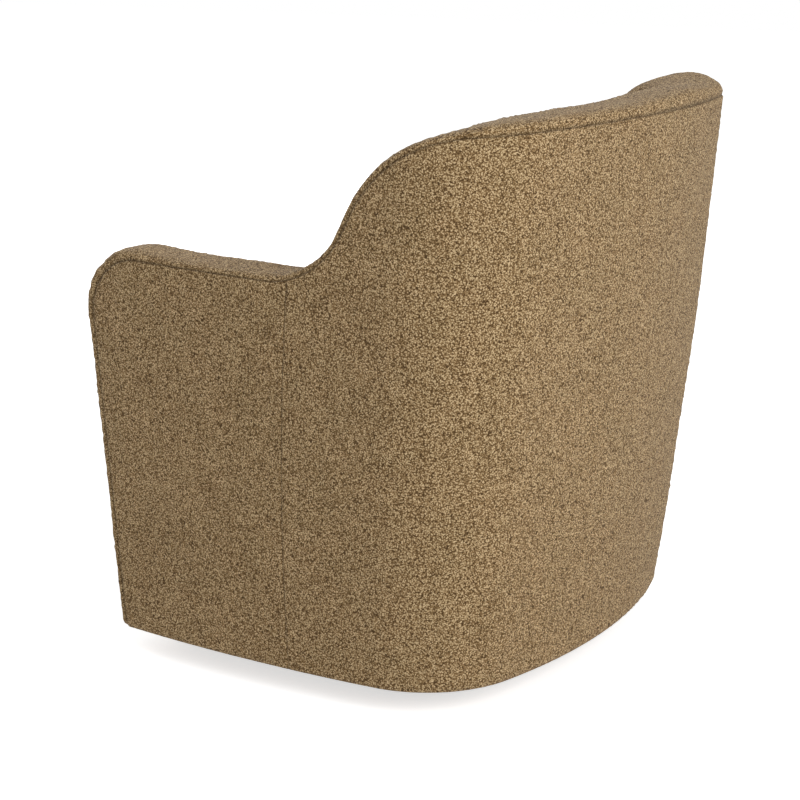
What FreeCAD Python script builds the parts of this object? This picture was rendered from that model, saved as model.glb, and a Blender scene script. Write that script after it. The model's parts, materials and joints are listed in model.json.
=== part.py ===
import FreeCAD, Part
import math
import os
import re
import Sketcher

V = FreeCAD.Vector
doc = FreeCAD.newDocument("swivel_rocker")
sheet = doc.addObject("Spreadsheet::Sheet", "sizes")

# Driving dimensions, in millimetres and degrees.
# +Z is up, the sitter faces -Y, and the swivel axis is +Z at the origin.
SIZES = {
    # Outer wall of the upholstered body, at the hem and at a level just above the back
    "hemHeight": 42, "topLevel": 912, "frontHalfHem": 365.5, "frontHalfTop": 386,
    "rearHalfHem": 357.5, "rearHalfTop": 404, "rearBulge": 15.5, "frontReach": 343.5, "frontLean": 59.5,
    "backReach": 301.5, "backLean": 83.5, "backBulge": 4, "backBowHem": 71, "backBowTop": 79,
    "sideBowHem": 16.5, "sideBowTop": 7, "rearCorner": 170,
    # Side profile of the rim seam: arm, sweep up to the wing, back
    "armSeamFront": 622, "armSeamRear": 616.5, "notchPlace": 53, "wingPlace": 161, "wingSeam": 823.5,
    "backSeam": 837.5, "armRound": 90, "notchRound": 150, "wingRound": 215,
    "frontRise": 3, "armRise": 10, "wingRise": 12, "backRise": 19, "frontTuck": 9,
    "panelSeamHem": -22, "panelSeamRim": 1.5, "panelSeamSag": 8,
    # Upholstery layers
    "skin": 6, "seam": 0.3, "armThickness": 92, "armPad": 30, "backPadTop": 100, "backPadSeat": 165,
    "innerBow": 60, "innerCorner": 85, "padJoint": 95, "deckLevel": 338, "dustCover": 1.5,
    "cushionThickness": 112, "cushionCrown": 14, "cushionFront": 374, "cushionCorner": 42,
    "cushionDrawIn": 5, "cushionEdge": 20, "cushionGap": 2.5,
    # Hardwood frame inside
    "hemRail": 22, "postWidth": 42, "rearPostPlace": 108, "backPostPlace": 105, "armRail": 30,
    "backRail": 80, "lumbarLevel": 430, "lumbarRail": 55, "seatBoard": 20, "seatBoardTop": 322,
    "seatRail": 76, "seatRearPlace": 160, "crossRailPlace": 150, "crossRailWidth": 40, "crossRailHeight": 48,
    "cornerBlock": 60, "webWidth": 50, "webThickness": 2, "webPitch": 86, "backWebLevel": 360,
    "backWebPitch": 92,
    # Base: glides, floor ring, arms and hub
    "glideHeight": 4, "glideRadius": 14, "ringInner": 200, "ringOuter": 240, "ringHeight": 8, "armWidth": 40,
    "armHeight": 6, "hubRadius": 92, "hubHeight": 5, "hubScrewCircle": 80, "screwHole": 3.2,
    # Ball bearing and king bolt
    "raceInner": 46, "raceOuter": 84, "raceHeight": 6.5, "raceGap": 3, "ballRadius": 5, "ballCircle": 65,
    "ballFit": 0.1, "ballCount": 12, "cageHeight": 1.6, "cageWidth": 24, "boltRadius": 8, "boltFit": 0.1,
    "boltHead": 13, "boltHeadHeight": 7, "boltEnd": 2, "washerRadius": 15, "washerHeight": 2.5, "nutHeight": 12,
    "turnGap": 0.3,
    # Rocker: swivel plate, ears, rocker rails, springs and stops
    "plateX": 116, "plateY": 138, "plateCorner": 30, "plateHeight": 5, "pivotHeight": 100,
    "earInner": 98, "sheetSteel": 5, "earFoot": 27, "earLength": 90, "earRadius": 20, "railGap": 3,
    "rockerTop": 155, "rockerSkirt": 24, "flangeWidth": 42, "pinRadius": 6, "pinHead": 10,
    "pinHeadHeight": 4, "pinNut": 6,
    "bushWall": 2.5, "pinFit": 0.1, "springX": 50, "springY": 105, "springRadius": 21, "wireRadius": 3.6,
    "springTurns": 3, "bossHeight": 7, "bossFit": 1, "seatBarWidth": 60, "seatBarHeight": 6,
    "seatBarLevel": 128, "stopRadius": 11, "stopPad": 10, "stopGap": 0.6, "rockBack": 6.5, "rockFront": 5,
    "screwRadius": 4,
    "screwHead": 7, "screwHeadHeight": 4, "screwFit": 0.2, "screwDepth": 30,
}
for row, (alias, value) in enumerate(SIZES.items(), start=1):
    sheet.set(f"A{row}", alias)
    sheet.set(f"B{row}", str(value))
    sheet.setAlias(f"B{row}", alias)
doc.recompute()


class Sizes:
    """Reads a size from the sheet by its alias."""

    def __getattr__(self, alias):
        return float(sheet.get(alias))


mm = Sizes()
nodes = []


def rule(text):
    """A sheet expression from plain text that names sizes."""
    def dotted(word):
        return f"sizes.{word.group()}" if word.group() in SIZES else word.group()

    return re.sub(r"[A-Za-z]\w*", dotted, str(text))


def node(obj, label):
    """Marks an object of the document as a sub-part with its own name."""
    obj.Label = label
    nodes.append(obj)
    return obj


def place(obj, x="0", y="0", z="0"):
    for axis, text in zip("xyz", (x, y, z)):
        obj.setExpression(f"Placement.Base.{axis}", rule(text))
    return obj


def box(name, x0, x1, y0, y1, z0, z1):
    obj = doc.addObject("Part::Box", name)
    for prop, low, high in (("Length", x0, x1), ("Width", y0, y1), ("Height", z0, z1)):
        obj.setExpression(prop, rule(f"({high}) - ({low})"))
    return place(obj, x0, y0, z0)


def cylinder(name, radius, z0, z1, x="0", y="0"):
    obj = doc.addObject("Part::Cylinder", name)
    obj.setExpression("Radius", rule(radius))
    obj.setExpression("Height", rule(f"({z1}) - ({z0})"))
    return place(obj, x, y, z0)


def cut(name, base, tool):
    obj = doc.addObject("Part::Cut", name)
    obj.Base, obj.Tool = base, tool
    return obj


def common(name, *shapes):
    obj = doc.addObject("Part::MultiCommon", name)
    obj.Shapes = list(shapes)
    return obj


def fuse(name, *shapes):
    obj = doc.addObject("Part::MultiFuse", name)
    obj.Shapes = list(shapes)
    return obj


def group(name, *shapes):
    """Separate solids that share one node."""
    obj = doc.addObject("Part::Compound", name)
    obj.Links = list(shapes)
    return obj


# Plan outlines of the body
def level(z):
    return (z - mm.hemHeight) / (mm.topLevel - mm.hemHeight)


def between(low, high, t):
    return low + (high - low) * t


def arc(centre, radius, start, end, z):
    """Circle arc in plan from angle start to angle end."""
    at = [V(centre[0] + radius * math.cos(a), centre[1] + radius * math.sin(a), z)
          for a in (start, (start + end) / 2, end)]
    return Part.Arc(*at).toShape()


def meeting(c0, r0, c1, r1):
    """Where two circles meet, on the +X side."""
    dx, dy = c1[0] - c0[0], c1[1] - c0[1]
    gap = math.hypot(dx, dy)
    along = (r0 ** 2 - r1 ** 2 + gap ** 2) / (2 * gap)
    off = math.sqrt(r0 ** 2 - along ** 2)
    return max((c0[0] + (dx * along + s * dy * off) / gap, c0[1] + (dy * along - s * dx * off) / gap)
               for s in (1, -1))


def plan_wire(z, front_half, rear_half, front_y, rear_y, back_bow, side_bow, corner, inset, ahead):
    """Closed plan outline: straight front, bowed sides and back, round rear corners.

    It is moved in by inset all round, and then the front is carried forward along the sides by ahead.
    """
    back_radius = (rear_half ** 2 + back_bow ** 2) / (2 * back_bow)
    back_centre = (0, rear_y - back_radius)
    corner_y = rear_y - back_bow
    chord = math.hypot(rear_half - front_half, corner_y - front_y)
    ux, uy = (rear_half - front_half) / chord, (corner_y - front_y) / chord
    side_radius = (chord ** 2 / 4 + side_bow ** 2) / (2 * side_bow)
    reach = side_radius - side_bow
    side_centre = ((front_half + rear_half) / 2 - uy * reach, (front_y + corner_y) / 2 + ux * reach)
    c = meeting(side_centre, side_radius - corner, back_centre, back_radius - corner)
    at_side = math.atan2(c[1] - side_centre[1], c[0] - side_centre[0])
    at_back = math.atan2(c[1] - back_centre[1], c[0] - back_centre[0])
    front = front_y + inset - ahead
    at_front = math.asin((front - side_centre[1]) / (side_radius - inset))
    front_x = side_centre[0] + (side_radius - inset) * math.cos(at_front)
    flip = math.pi
    edges = [
        Part.LineSegment(V(-front_x, front, z), V(front_x, front, z)).toShape(),
        arc(side_centre, side_radius - inset, at_front, at_side, z),
        arc(c, corner - inset, at_side, at_back, z),
        arc(back_centre, back_radius - inset, at_back, flip - at_back, z),
        arc((-c[0], c[1]), corner - inset, flip - at_back, flip - at_side, z),
        arc((-side_centre[0], side_centre[1]), side_radius - inset, flip - at_side, flip - at_front, z),
    ]
    return Part.Wire(edges)


def outer_wire(z, inset, ahead):
    """Plan outline of the body's outside."""
    t = level(z)
    swell = 4 * t * (1 - t)
    return plan_wire(
        z,
        between(mm.frontHalfHem, mm.frontHalfTop, t),
        between(mm.rearHalfHem, mm.rearHalfTop, t) + mm.rearBulge * swell,
        -mm.frontReach - mm.frontLean * t,
        mm.backReach + mm.backLean * t + mm.backBulge * swell,
        between(mm.backBowHem, mm.backBowTop, t),
        between(mm.sideBowHem, mm.sideBowTop, t),
        mm.rearCorner,
        inset,
        ahead,
    )


def inner_wire(z, inset, ahead):
    """Plan outline of the space between the arms and in front of the back."""
    t = level(z)
    swell = 4 * t * (1 - t)
    seat = level(mm.deckLevel)
    pad = between(mm.backPadSeat, mm.backPadTop, (t - seat) / (1 - seat))
    return plan_wire(
        z,
        between(mm.frontHalfHem, mm.frontHalfTop, t) - mm.armThickness,
        between(mm.rearHalfHem, mm.rearHalfTop, t) + mm.rearBulge * swell - mm.armThickness,
        -mm.frontReach - mm.frontLean * t,
        mm.backReach + mm.backLean * t + mm.backBulge * swell - pad,
        mm.innerBow,
        between(mm.sideBowHem, mm.sideBowTop, t),
        mm.innerCorner,
        inset,
        ahead,
    )


def wall(name, outline, low, high, inset=0.0, ahead=0.0, steps=2):
    """Solid lofted through plan outlines from one height to another."""
    sections = []
    for k in range(steps + 1):
        section = doc.addObject("Part::Feature", f"{name}_section{k}")
        section.Shape = outline(between(low, high, k / steps), inset, ahead)
        sections.append(section)
    loft = doc.addObject("Part::Loft", name)
    loft.Sections = sections
    loft.Solid = True
    return loft


# Side profile of the rim
def rounded(points, radii):
    """Closed wire in the YZ plane through points, with a round of the given radius at each."""
    spots = []
    for i, radius in enumerate(radii):
        p, a, b = (V(0, *points[j % len(points)]) for j in (i, i - 1, i + 1))
        to_a, to_b = (a - p).normalize(), (b - p).normalize()
        half = to_a.getAngle(to_b) / 2
        middle = p + (to_a + to_b).normalize() * (radius / math.sin(half) - radius)
        spots.append((p + to_a * (radius / math.tan(half)), middle, p + to_b * (radius / math.tan(half))))
    edges = []
    for i, (start, middle, end) in enumerate(spots):
        if radii[i]:
            edges.append(Part.Arc(start, middle, end).toShape())
        edges.append(Part.LineSegment(end, spots[(i + 1) % len(spots)][0]).toShape())
    return Part.Wire(edges)


def crossing(a, b, c, d):
    """Where the line through a and b meets the line through c and d."""
    (x1, y1), (x2, y2), (x3, y3), (x4, y4) = a, b, c, d
    det = (x1 - x2) * (y3 - y4) - (y1 - y2) * (x3 - x4)
    first, second = x1 * y2 - y1 * x2, x3 * y4 - y3 * x4
    return (
        (first * (x3 - x4) - (x1 - x2) * second) / det,
        (first * (y3 - y4) - (y1 - y2) * second) / det,
    )


def extrude_x(name, outline):
    """Solid with a YZ outline, right across the body."""
    face = doc.addObject("Part::Feature", f"{name}_outline")
    face.Shape = outline
    solid = doc.addObject("Part::Extrusion", name)
    solid.Base = face
    solid.DirMode = "Custom"
    solid.Dir = V(1, 0, 0)
    solid.Solid = True
    solid.Symmetric = True
    solid.setExpression("LengthFwd", rule("4 * rearHalfTop"))
    return solid


def rim_profile(name, front, arm, wing, back):
    """Solid under the rim: the seam's side profile with each stretch moved out by its own distance."""
    far, deep = 2 * mm.backReach, -mm.hemHeight
    front_top = mm.frontReach + mm.frontLean * level(mm.armSeamFront)
    corners = [(-mm.frontReach, mm.hemHeight), (-front_top, mm.armSeamFront), (mm.notchPlace, mm.armSeamRear),
               (mm.wingPlace, mm.wingSeam), (mm.backReach + mm.backLean, mm.backSeam)]
    lines = []
    for (a, b), rise in zip(zip(corners, corners[1:]), (front, arm, wing, back)):
        size = math.hypot(b[0] - a[0], b[1] - a[1])
        off = (-(b[1] - a[1]) / size * rise, (b[0] - a[0]) / size * rise)
        lines.append(((a[0] + off[0], a[1] + off[1]), (b[0] + off[0], b[1] + off[1])))
    bottom = crossing(*lines[0], (0, deep), (1, deep))
    turns = [crossing(*a, *b) for a, b in zip(lines, lines[1:])]
    end = crossing(*lines[3], (far, 0), (far, 1))
    radii = [0, mm.armRound + arm, mm.notchRound - arm, mm.wingRound + back, 0, 0]
    return extrude_x(name, rounded([bottom, *turns, end, (far, deep)], radii))


def front_of_seam(name, gap):
    """Solid in front of the upright seam between the arm panels and the back panel."""
    deep, high = mm.hemHeight - 10, mm.armSeamRear
    low, top = V(0, mm.panelSeamHem - gap, deep), V(0, mm.panelSeamRim - gap, high)
    middle = (low + top) / 2 - V(0, mm.panelSeamSag, 0)
    far = -2 * mm.frontReach
    edges = [
        Part.Arc(low, middle, top).toShape(),
        Part.LineSegment(top, V(0, far, 2 * high)).toShape(),
        Part.LineSegment(V(0, far, 2 * high), V(0, far, deep)).toShape(),
        Part.LineSegment(V(0, far, deep), low).toShape(),
    ]
    return extrude_x(name, Part.Wire(edges))


low, high = mm.hemHeight - 20, mm.topLevel + 20
post_face = mm.armThickness - mm.armPad - mm.webThickness - 2 * mm.seam
frame_inset = mm.skin + mm.seam

outside = wall("outside", outer_wire, mm.hemHeight, mm.topLevel)
under_skin = wall("under_skin", outer_wire, low, high, mm.skin)
frame_space = wall("frame_space", outer_wire, low, high, frame_inset)
between_posts = wall("between_posts", outer_wire, low, high, post_face, mm.armThickness)
board_outer = wall("board_outer", outer_wire, low, high, post_face + mm.seam, mm.armThickness)
board_inner = wall("board_inner", outer_wire, low, high, post_face + mm.seam + mm.seatBoard, mm.armThickness)
board_face = post_face + 2 * mm.seam + mm.seatBoard
board_space = wall("board_space", outer_wire, low, high, board_face, mm.armThickness)
band_space = wall("band_space", outer_wire, mm.hemHeight, mm.topLevel, 0.0, mm.armThickness)
seat_space = wall("seat_space", inner_wire, low, high, 0.0, 2 * mm.armThickness)
pad_space = wall("pad_space", inner_wire, low, high, -mm.armPad, 2 * mm.armThickness)
web_face = -mm.armPad - mm.seam
web_inner = wall("web_inner", inner_wire, low, high, web_face, 2 * mm.armThickness)
web_outer = wall("web_outer", inner_wire, low, high, web_face - mm.webThickness, 2 * mm.armThickness)
under_seam = rim_profile("under_seam", -mm.frontTuck, 0.0, 0.0, 0.0)
under_rim = rim_profile("under_rim", mm.frontRise, mm.armRise, mm.wingRise, mm.backRise)
under_pad = rim_profile("under_pad", -mm.frontTuck - mm.seam, -mm.seam, -mm.seam, -mm.seam)
arm_side = front_of_seam("arm_side", 0.0)

ALL_X = ("-2 * rearHalfTop", "2 * rearHalfTop")
ALL_Y = ("-2 * frontReach", "2 * backReach")
ALL_Z = ("-hemHeight", "topLevel + 50")
SIDES = (("left", (f"{mm.seam / 2}", "2 * rearHalfTop")), ("right", ("-2 * rearHalfTop", f"-{mm.seam / 2}")))


def slab(name, x=ALL_X, y=ALL_Y, z=ALL_Z):
    """Block that picks a stretch out of a wall."""
    return box(name, *x, *y, *z)


# Outer upholstery: arm panels, back panel and front panel
shell = cut("shell", outside, under_skin)
shell_under_seam = common("shell_under_seam", shell, under_seam)
for side, x in SIDES:
    panel = common(f"panel_{side}", shell_under_seam, arm_side, slab(f"panel_slab_{side}", x))
    node(panel, f"outside_arm_{side}")
behind_front_slab = slab("behind_front", y=("-frontReach / 2", "2 * backReach"))
back_shell = common("back_shell", shell_under_seam, behind_front_slab)
node(cut("back_panel", back_shell, front_of_seam("arm_side_clear", -mm.seam)), "outside_back")
front_slab = slab("front_slab", y=("-2 * frontReach", "-frontReach + 4 * skin"), z=("hemHeight", "deckLevel"))
between_arms = wall("between_arms", inner_wire, low, high, mm.seam, 2 * mm.armThickness)
behind_front = wall("behind_front_panel", outer_wire, low, high, mm.skin)
node(common("front_shell", cut("front_skin", outside, behind_front), between_arms, front_slab), "front_panel")

# Boxing band along the rim, over the arms and round the back
ring = cut("rim_ring", band_space, seat_space)
band = cut("band", common("band_top", ring, under_rim), under_seam)
arm_back = "panelSeamRim"
for side, x in SIDES:
    band_slab = slab(f"band_slab_{side}", x, ("-2 * frontReach", f"{arm_back} - seam"))
    node(common(f"band_{side}", band, band_slab), f"arm_band_{side}")
node(common("band_rear", band, slab("band_slab_rear", y=(arm_back, "2 * backReach"))), "back_band")

# Inside arm pads and inside back pad
pads = common("pads", cut("pad_ring", pad_space, seat_space), under_seam,
              slab("above_deck", z=("deckLevel + seam", "topLevel")))
for side, x in SIDES:
    node(common(f"pad_{side}", pads, slab(f"pad_slab_{side}", x, ("-2 * frontReach", "padJoint - seam"))),
         f"inside_arm_{side}")
node(common("pad_rear", pads, slab("pad_slab_rear", y=("padJoint", "2 * backReach"))), "inside_back")

# Seat cushion: crowned, with its sides drawn in between the corners
def cushion_outline():
    """Plan outline of the cushion, inside the seat space at deck level."""
    t = level(mm.deckLevel)
    front = -mm.cushionFront
    swell = 4 * t * (1 - t)
    half_front = between(mm.frontHalfHem, mm.frontHalfTop, t) - mm.armThickness - mm.cushionGap
    half_rear = (between(mm.rearHalfHem, mm.rearHalfTop, t) + mm.rearBulge * swell - mm.armThickness
                 - mm.cushionGap - mm.cushionDrawIn)
    rear = mm.backReach + mm.backLean * t + mm.backBulge * swell - mm.backPadSeat - mm.cushionGap
    side_rear = rear - mm.innerBow - mm.innerCorner / 2
    corner, drawn = mm.cushionCorner, mm.cushionDrawIn
    diagonal = corner * (1 - math.sqrt(0.5))
    edges = [Part.Arc(V(-half_front + corner, front, 0), V(0, front - drawn, 0),
                      V(half_front - corner, front, 0)).toShape()]
    right = [
        Part.Arc(V(half_front - corner, front, 0), V(half_front - diagonal, front + diagonal, 0),
                 V(half_front, front + corner, 0)).toShape(),
        Part.Arc(V(half_front, front + corner, 0),
                 V((half_front + half_rear) / 2 - drawn, (front + corner + side_rear) / 2, 0),
                 V(half_rear, side_rear, 0)).toShape(),
        Part.Arc(V(half_rear, side_rear, 0),
                 V(half_rear - mm.innerCorner * 0.45, rear - mm.innerBow * 0.55 - mm.innerCorner * 0.25, 0),
                 V(half_rear - mm.innerCorner, rear - mm.innerBow * 0.5, 0)).toShape(),
    ]
    back = Part.Arc(V(half_rear - mm.innerCorner, rear - mm.innerBow * 0.5, 0), V(0, rear - drawn, 0),
                    V(-half_rear + mm.innerCorner, rear - mm.innerBow * 0.5, 0)).toShape()
    left = [edge.mirror(V(0, 0, 0), V(1, 0, 0)) for edge in reversed(right)]
    return Part.Wire(Part.__sortEdges__(edges + right + [back] + left))


def cushion():
    """Boxed cushion lofted through its outline, drawn in at the seams and towards the crown."""
    height, crown, edge = mm.cushionThickness, mm.cushionCrown, mm.cushionEdge
    # Each level's height, and how far the outline is drawn in there
    levels = [
        (0, edge),
        (edge / 2, edge / 4),
        (height / 2, 0),
        (height - edge / 2, edge / 4),
        (height, edge),
        (height + crown * 0.6, 4 * edge),
        (height + crown, 8 * edge),
    ]
    outline = cushion_outline()
    half = outline.BoundBox.XLength / 2
    centre = outline.BoundBox.Center
    sections = []
    for k, (z, inset) in enumerate(levels):
        wire = outline.copy()
        wire.scale(1 - inset / half, centre)
        wire.translate(V(0, 0, mm.deckLevel + mm.seam + z))
        section = doc.addObject("Part::Feature", f"cushion_section{k}")
        section.Shape = wire
        sections.append(section)
    loft = doc.addObject("Part::Loft", "cushion_loft")
    loft.Sections = sections
    loft.Solid = True
    loft.Ruled = True
    return loft


node(cushion(), "seat_cushion")

# Hardwood frame inside the upholstery
frame_ring = common("frame_ring", cut("frame_wall", frame_space, between_posts), under_pad)
hem_z = ("hemHeight + seam", "hemHeight + hemRail")
over_hem = "hemHeight + hemRail"
post_back = "-frontReach + postWidth + skin"
for side, x in SIDES:
    node(common(f"hem_{side}", frame_ring, slab(f"hem_slab_{side}", x, ("-2 * frontReach",
         "rearPostPlace + postWidth"), hem_z)), f"hem_rail_{side}")
    node(common(f"front_post_{side}_cut", frame_ring, slab(f"front_post_slab_{side}", x, ("-2 * frontReach",
         post_back), (over_hem, "armSeamRear - armRail"))), f"front_post_{side}")
    node(common(f"rear_post_{side}_cut", frame_ring, slab(f"rear_post_slab_{side}", x,
         ("rearPostPlace", "rearPostPlace + postWidth"), (over_hem, "topLevel"))), f"rear_post_{side}")
    rail_slab = slab(f"arm_rail_slab_{side}", x, ("-2 * frontReach", "rearPostPlace"),
                     ("armSeamRear - armRail", "topLevel"))
    rail = common(f"arm_rail_{side}_length", frame_ring, rail_slab)
    node(cut(f"arm_rail_{side}_cut", rail, web_inner), f"arm_rail_{side}")
rear_y = ("rearPostPlace + postWidth", "2 * backReach")
node(common("hem_rear", frame_ring, slab("hem_slab_rear", y=rear_y, z=hem_z)), "hem_rail_rear")
hem_slab = slab("hem_slab_front", y=("-2 * frontReach", post_back), z=hem_z)
node(common("hem_front", frame_space, board_outer, under_pad, hem_slab), "hem_rail_front")
node(common("top_rail", frame_ring, slab("top_rail_slab", y=rear_y, z=("backSeam - backRail", "topLevel"))),
     "back_top_rail")
node(common("lumbar", frame_ring, slab("lumbar_slab", y=rear_y,
     z=("lumbarLevel", "lumbarLevel + lumbarRail"))), "lumbar_rail")
post_levels = {"lower": (over_hem, "lumbarLevel"), "upper": ("lumbarLevel + lumbarRail", "backSeam - backRail")}
post_pieces = []
for name, z in post_levels.items():
    for side, sign in (("left", 1), ("right", -1)):
        place_x = f"{sign} * backPostPlace"
        post_x = (f"{place_x} - postWidth / 2", f"{place_x} + postWidth / 2")
        post_slab = slab(f"back_post_{name}_slab_{side}", post_x, rear_y, z)
        post_pieces.append(common(f"back_post_{name}_{side}", frame_ring, post_slab))
node(group("back_post_set", *post_pieces), "back_posts")

# Seat box on the rocker: side boards, rails, cross rails, corner blocks and webbing
seat_bottom = "rockerTop + dustCover"
seat_y = (post_back, "seatRearPlace + seatBoard")
board_ring = cut("board_ring", board_outer, board_inner)
for side, x in SIDES:
    board_slab = slab(f"board_slab_{side}", x, seat_y, (seat_bottom, "seatBoardTop"))
    node(common(f"board_{side}", board_ring, board_slab), f"seat_board_{side}")
rail_z = ("seatBoardTop - seatRail", "seatBoardTop")
node(common("front_rail_cut", board_space, slab("front_rail_slab", y=(post_back, f"{post_back} + seatBoard"),
     z=rail_z)), "front_seat_rail")
node(common("rear_rail_cut", board_space, slab("rear_rail_slab", y=("seatRearPlace",
     "seatRearPlace + seatBoard"), z=rail_z)), "rear_seat_rail")
screws_x = "earInner + sheetSteel + railGap + sheetSteel + (flangeWidth - sheetSteel) / 2"
screw_spots = [(f"{sx} * ({screws_x})", f"{sy} * crossRailPlace") for sx in (1, -1) for sy in (1, -1)]
cross_z = (seat_bottom, f"{seat_bottom} + crossRailHeight")
for name, sign in (("front", -1), ("rear", 1)):
    bar_y = (f"{sign} * crossRailPlace - crossRailWidth / 2", f"{sign} * crossRailPlace + crossRailWidth / 2")
    bar = common(f"cross_rail_{name}_bar", board_space, slab(f"cross_rail_{name}_slab", y=bar_y, z=cross_z))
    holes = [cylinder(f"cross_rail_{name}_hole{k}", "screwRadius + screwFit", "rockerTop - seam",
                      "rockerTop + screwDepth + seam", *spot) for k, spot in enumerate(screw_spots)]
    drilled = cut(f"cross_rail_{name}_drilled", bar, fuse(f"cross_rail_{name}_holes", *holes))
    node(drilled, f"cross_rail_{name}")


def corner_block(name, sx, y, sy):
    """Triangular glue block in a corner of the seat box."""
    post = board_face_x(y)
    outline = Part.makePolygon([V(sx * post, y, 0), V(sx * (post - mm.cornerBlock), y, 0),
                                V(sx * post, y + sy * mm.cornerBlock, 0), V(sx * post, y, 0)])
    face = doc.addObject("Part::Feature", f"{name}_outline")
    face.Shape = outline
    face.setExpression("Placement.Base.z", rule("seatBoardTop - cornerBlock"))
    block = doc.addObject("Part::Extrusion", name)
    block.Base, block.DirMode, block.Dir, block.Solid = face, "Custom", V(0, 0, 1), True
    block.setExpression("LengthFwd", rule("cornerBlock"))
    return block


def board_face_x(y):
    """Inner face of a side board at the corner blocks' lower level, where the body is narrowest."""
    low_level = mm.seatBoardTop - mm.cornerBlock
    line = Part.makeLine(V(0, y, low_level), V(2 * mm.rearHalfTop, y, low_level))
    doc.recompute()
    return line.common(board_space.Shape).BoundBox.XMax - mm.seam


front_face = -mm.frontReach + mm.postWidth + mm.skin + mm.seatBoard
blocks = [corner_block(f"corner_block_{k}", sx, y, sy)
          for k, (sx, y, sy) in enumerate(((1, front_face, 1), (-1, front_face, 1),
                                           (1, mm.seatRearPlace, -1), (-1, mm.seatRearPlace, -1)))]
node(group("corner_block_set", *blocks), "corner_blocks")


def web_strips(name, count, across, z0):
    """Parallel strips of seat webbing, centred on the seat."""
    strips = []
    middle = (mm.seatRearPlace + front_face) / 2
    for k in range(count):
        at = f"({k - (count - 1) / 2} * webPitch)"
        if across:
            strip_y = (f"{middle} + {at} - webWidth / 2", f"{middle} + {at} + webWidth / 2")
            strip_slab = slab(f"{name}_slab{k}", y=strip_y, z=(z0, f"{z0} + webThickness"))
            strip = common(f"{name}{k}", board_outer, strip_slab)
        else:
            strip = box(f"{name}{k}", f"{at} - webWidth / 2", f"{at} + webWidth / 2", *seat_y, z0,
                        f"{z0} + webThickness")
        strips.append(strip)
    return strips


node(group("web_set", *web_strips("web_across", 5, True, "seatBoardTop"),
           *web_strips("web_along", 5, False, "seatBoardTop + webThickness")), "seat_webbing")
deck_slab = slab("deck_slab", y=("-2 * frontReach", "seatRearPlace + seatBoard"),
                 z=("seatBoardTop + 2 * webThickness + seam", "deckLevel"))
node(common("deck", board_outer, frame_space, under_pad, deck_slab), "deck_pad")
dust_sheet = common("dust_sheet", board_outer, slab("dust_slab", y=seat_y, z=("rockerTop", seat_bottom)))
dust_z = ("rockerTop - seam", f"{seat_bottom} + seam")
dust_holes = [cylinder(f"dust_hole{k}", "screwRadius + screwFit", *dust_z, *spot)
              for k, spot in enumerate(screw_spots)]
node(cut("dust_cover_holed", dust_sheet, fuse("dust_holes", *dust_holes)), "dust_cover")
web_ring = cut("web_ring", web_outer, web_inner)
back_strips = [
    common(f"back_web{k}", web_ring, slab(f"back_web_slab{k}", y=("rearPostPlace", "2 * backReach"),
           z=(f"backWebLevel + {k} * backWebPitch", f"backWebLevel + {k} * backWebPitch + webWidth")))
    for k in range(4)
]
node(group("back_web_set", *back_strips), "back_webbing")


# Sketched metal parts
def new_body(name):
    body = doc.addObject("PartDesign::Body", name)
    doc.recompute()
    return body


def sketch(body, name, role, offset="0"):
    """Sketch on one of the body's own origin planes, moved along its normal by offset."""
    drawing = body.newObject("Sketcher::SketchObject", name)
    plane = next(f for f in body.Origin.OriginFeatures if f.Role == role)
    drawing.AttachmentSupport = (plane, [""])
    drawing.MapMode = "FlatFace"
    drawing.setExpression("AttachmentOffset.Base.z", rule(offset))
    return drawing


def value(text):
    """What a sheet expression comes to."""
    return float(sheet.evalExpression(re.sub(r"sizes\.", "", rule(text))))


def pin_point(drawing, geometry, point, x, y):
    """Ties a point of a sketch to its place, given as sheet expressions."""
    for kind, text, axis in (("DistanceX", x, -2), ("DistanceY", y, -1)):
        if abs(value(text)) < 1e-9:
            drawing.addConstraint(Sketcher.Constraint("PointOnObject", geometry, point, axis))
            continue
        number = drawing.addConstraint(Sketcher.Constraint(kind, -1, 1, geometry, point, value(text)))
        drawing.setExpression(f"Constraints[{number}]", rule(text))


def polygon(drawing, *points):
    spots = [V(value(x), value(y), 0) for x, y in points]
    first = drawing.GeometryCount
    count = len(spots)
    for k in range(count):
        drawing.addGeometry(Part.LineSegment(spots[k], spots[(k + 1) % count]))
    for k in range(count):
        drawing.addConstraint(Sketcher.Constraint("Coincident", first + k, 2, first + (k + 1) % count, 1))
    for k, (x, y) in enumerate(points):
        pin_point(drawing, first + k, 1, x, y)


def rectangle(drawing, x0, x1, y0, y1):
    polygon(drawing, (x0, y0), (x1, y0), (x1, y1), (x0, y1))


def circle(drawing, radius, x="0", y="0"):
    number = drawing.addGeometry(Part.Circle(V(value(x), value(y), 0), V(0, 0, 1), value(radius)))
    pin_point(drawing, number, 3, x, y)
    size = drawing.addConstraint(Sketcher.Constraint("Radius", number, value(radius)))
    drawing.setExpression(f"Constraints[{size}]", rule(radius))


def pad(body, drawing, length):
    feature = body.newObject("PartDesign::Pad", f"{drawing.Name}_pad")
    feature.Profile = drawing
    feature.setExpression("Length", rule(length))
    drawing.Visibility = False
    doc.recompute()
    return feature


def round_uprights(body, feature, radius):
    """Rounds the upright edges of a plate."""
    edges = [f"Edge{k}" for k, edge in enumerate(feature.Shape.Edges, 1)
             if isinstance(edge.Curve, Part.Line) and abs(edge.tangentAt(edge.FirstParameter).z) > 0.99]
    fillet = body.newObject("PartDesign::Fillet", f"{feature.Name}_round")
    fillet.Base = (feature, edges)
    fillet.setExpression("Radius", rule(radius))
    doc.recompute()


def turned(cos_angle, radius, k, count):
    """Place of hole k of count on a circle, as sheet expressions."""
    angle = f"({k} * 360 / {count} + {cos_angle}) * 1 deg"
    return f"{radius} * cos({angle})", f"{radius} * sin({angle})"


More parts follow.
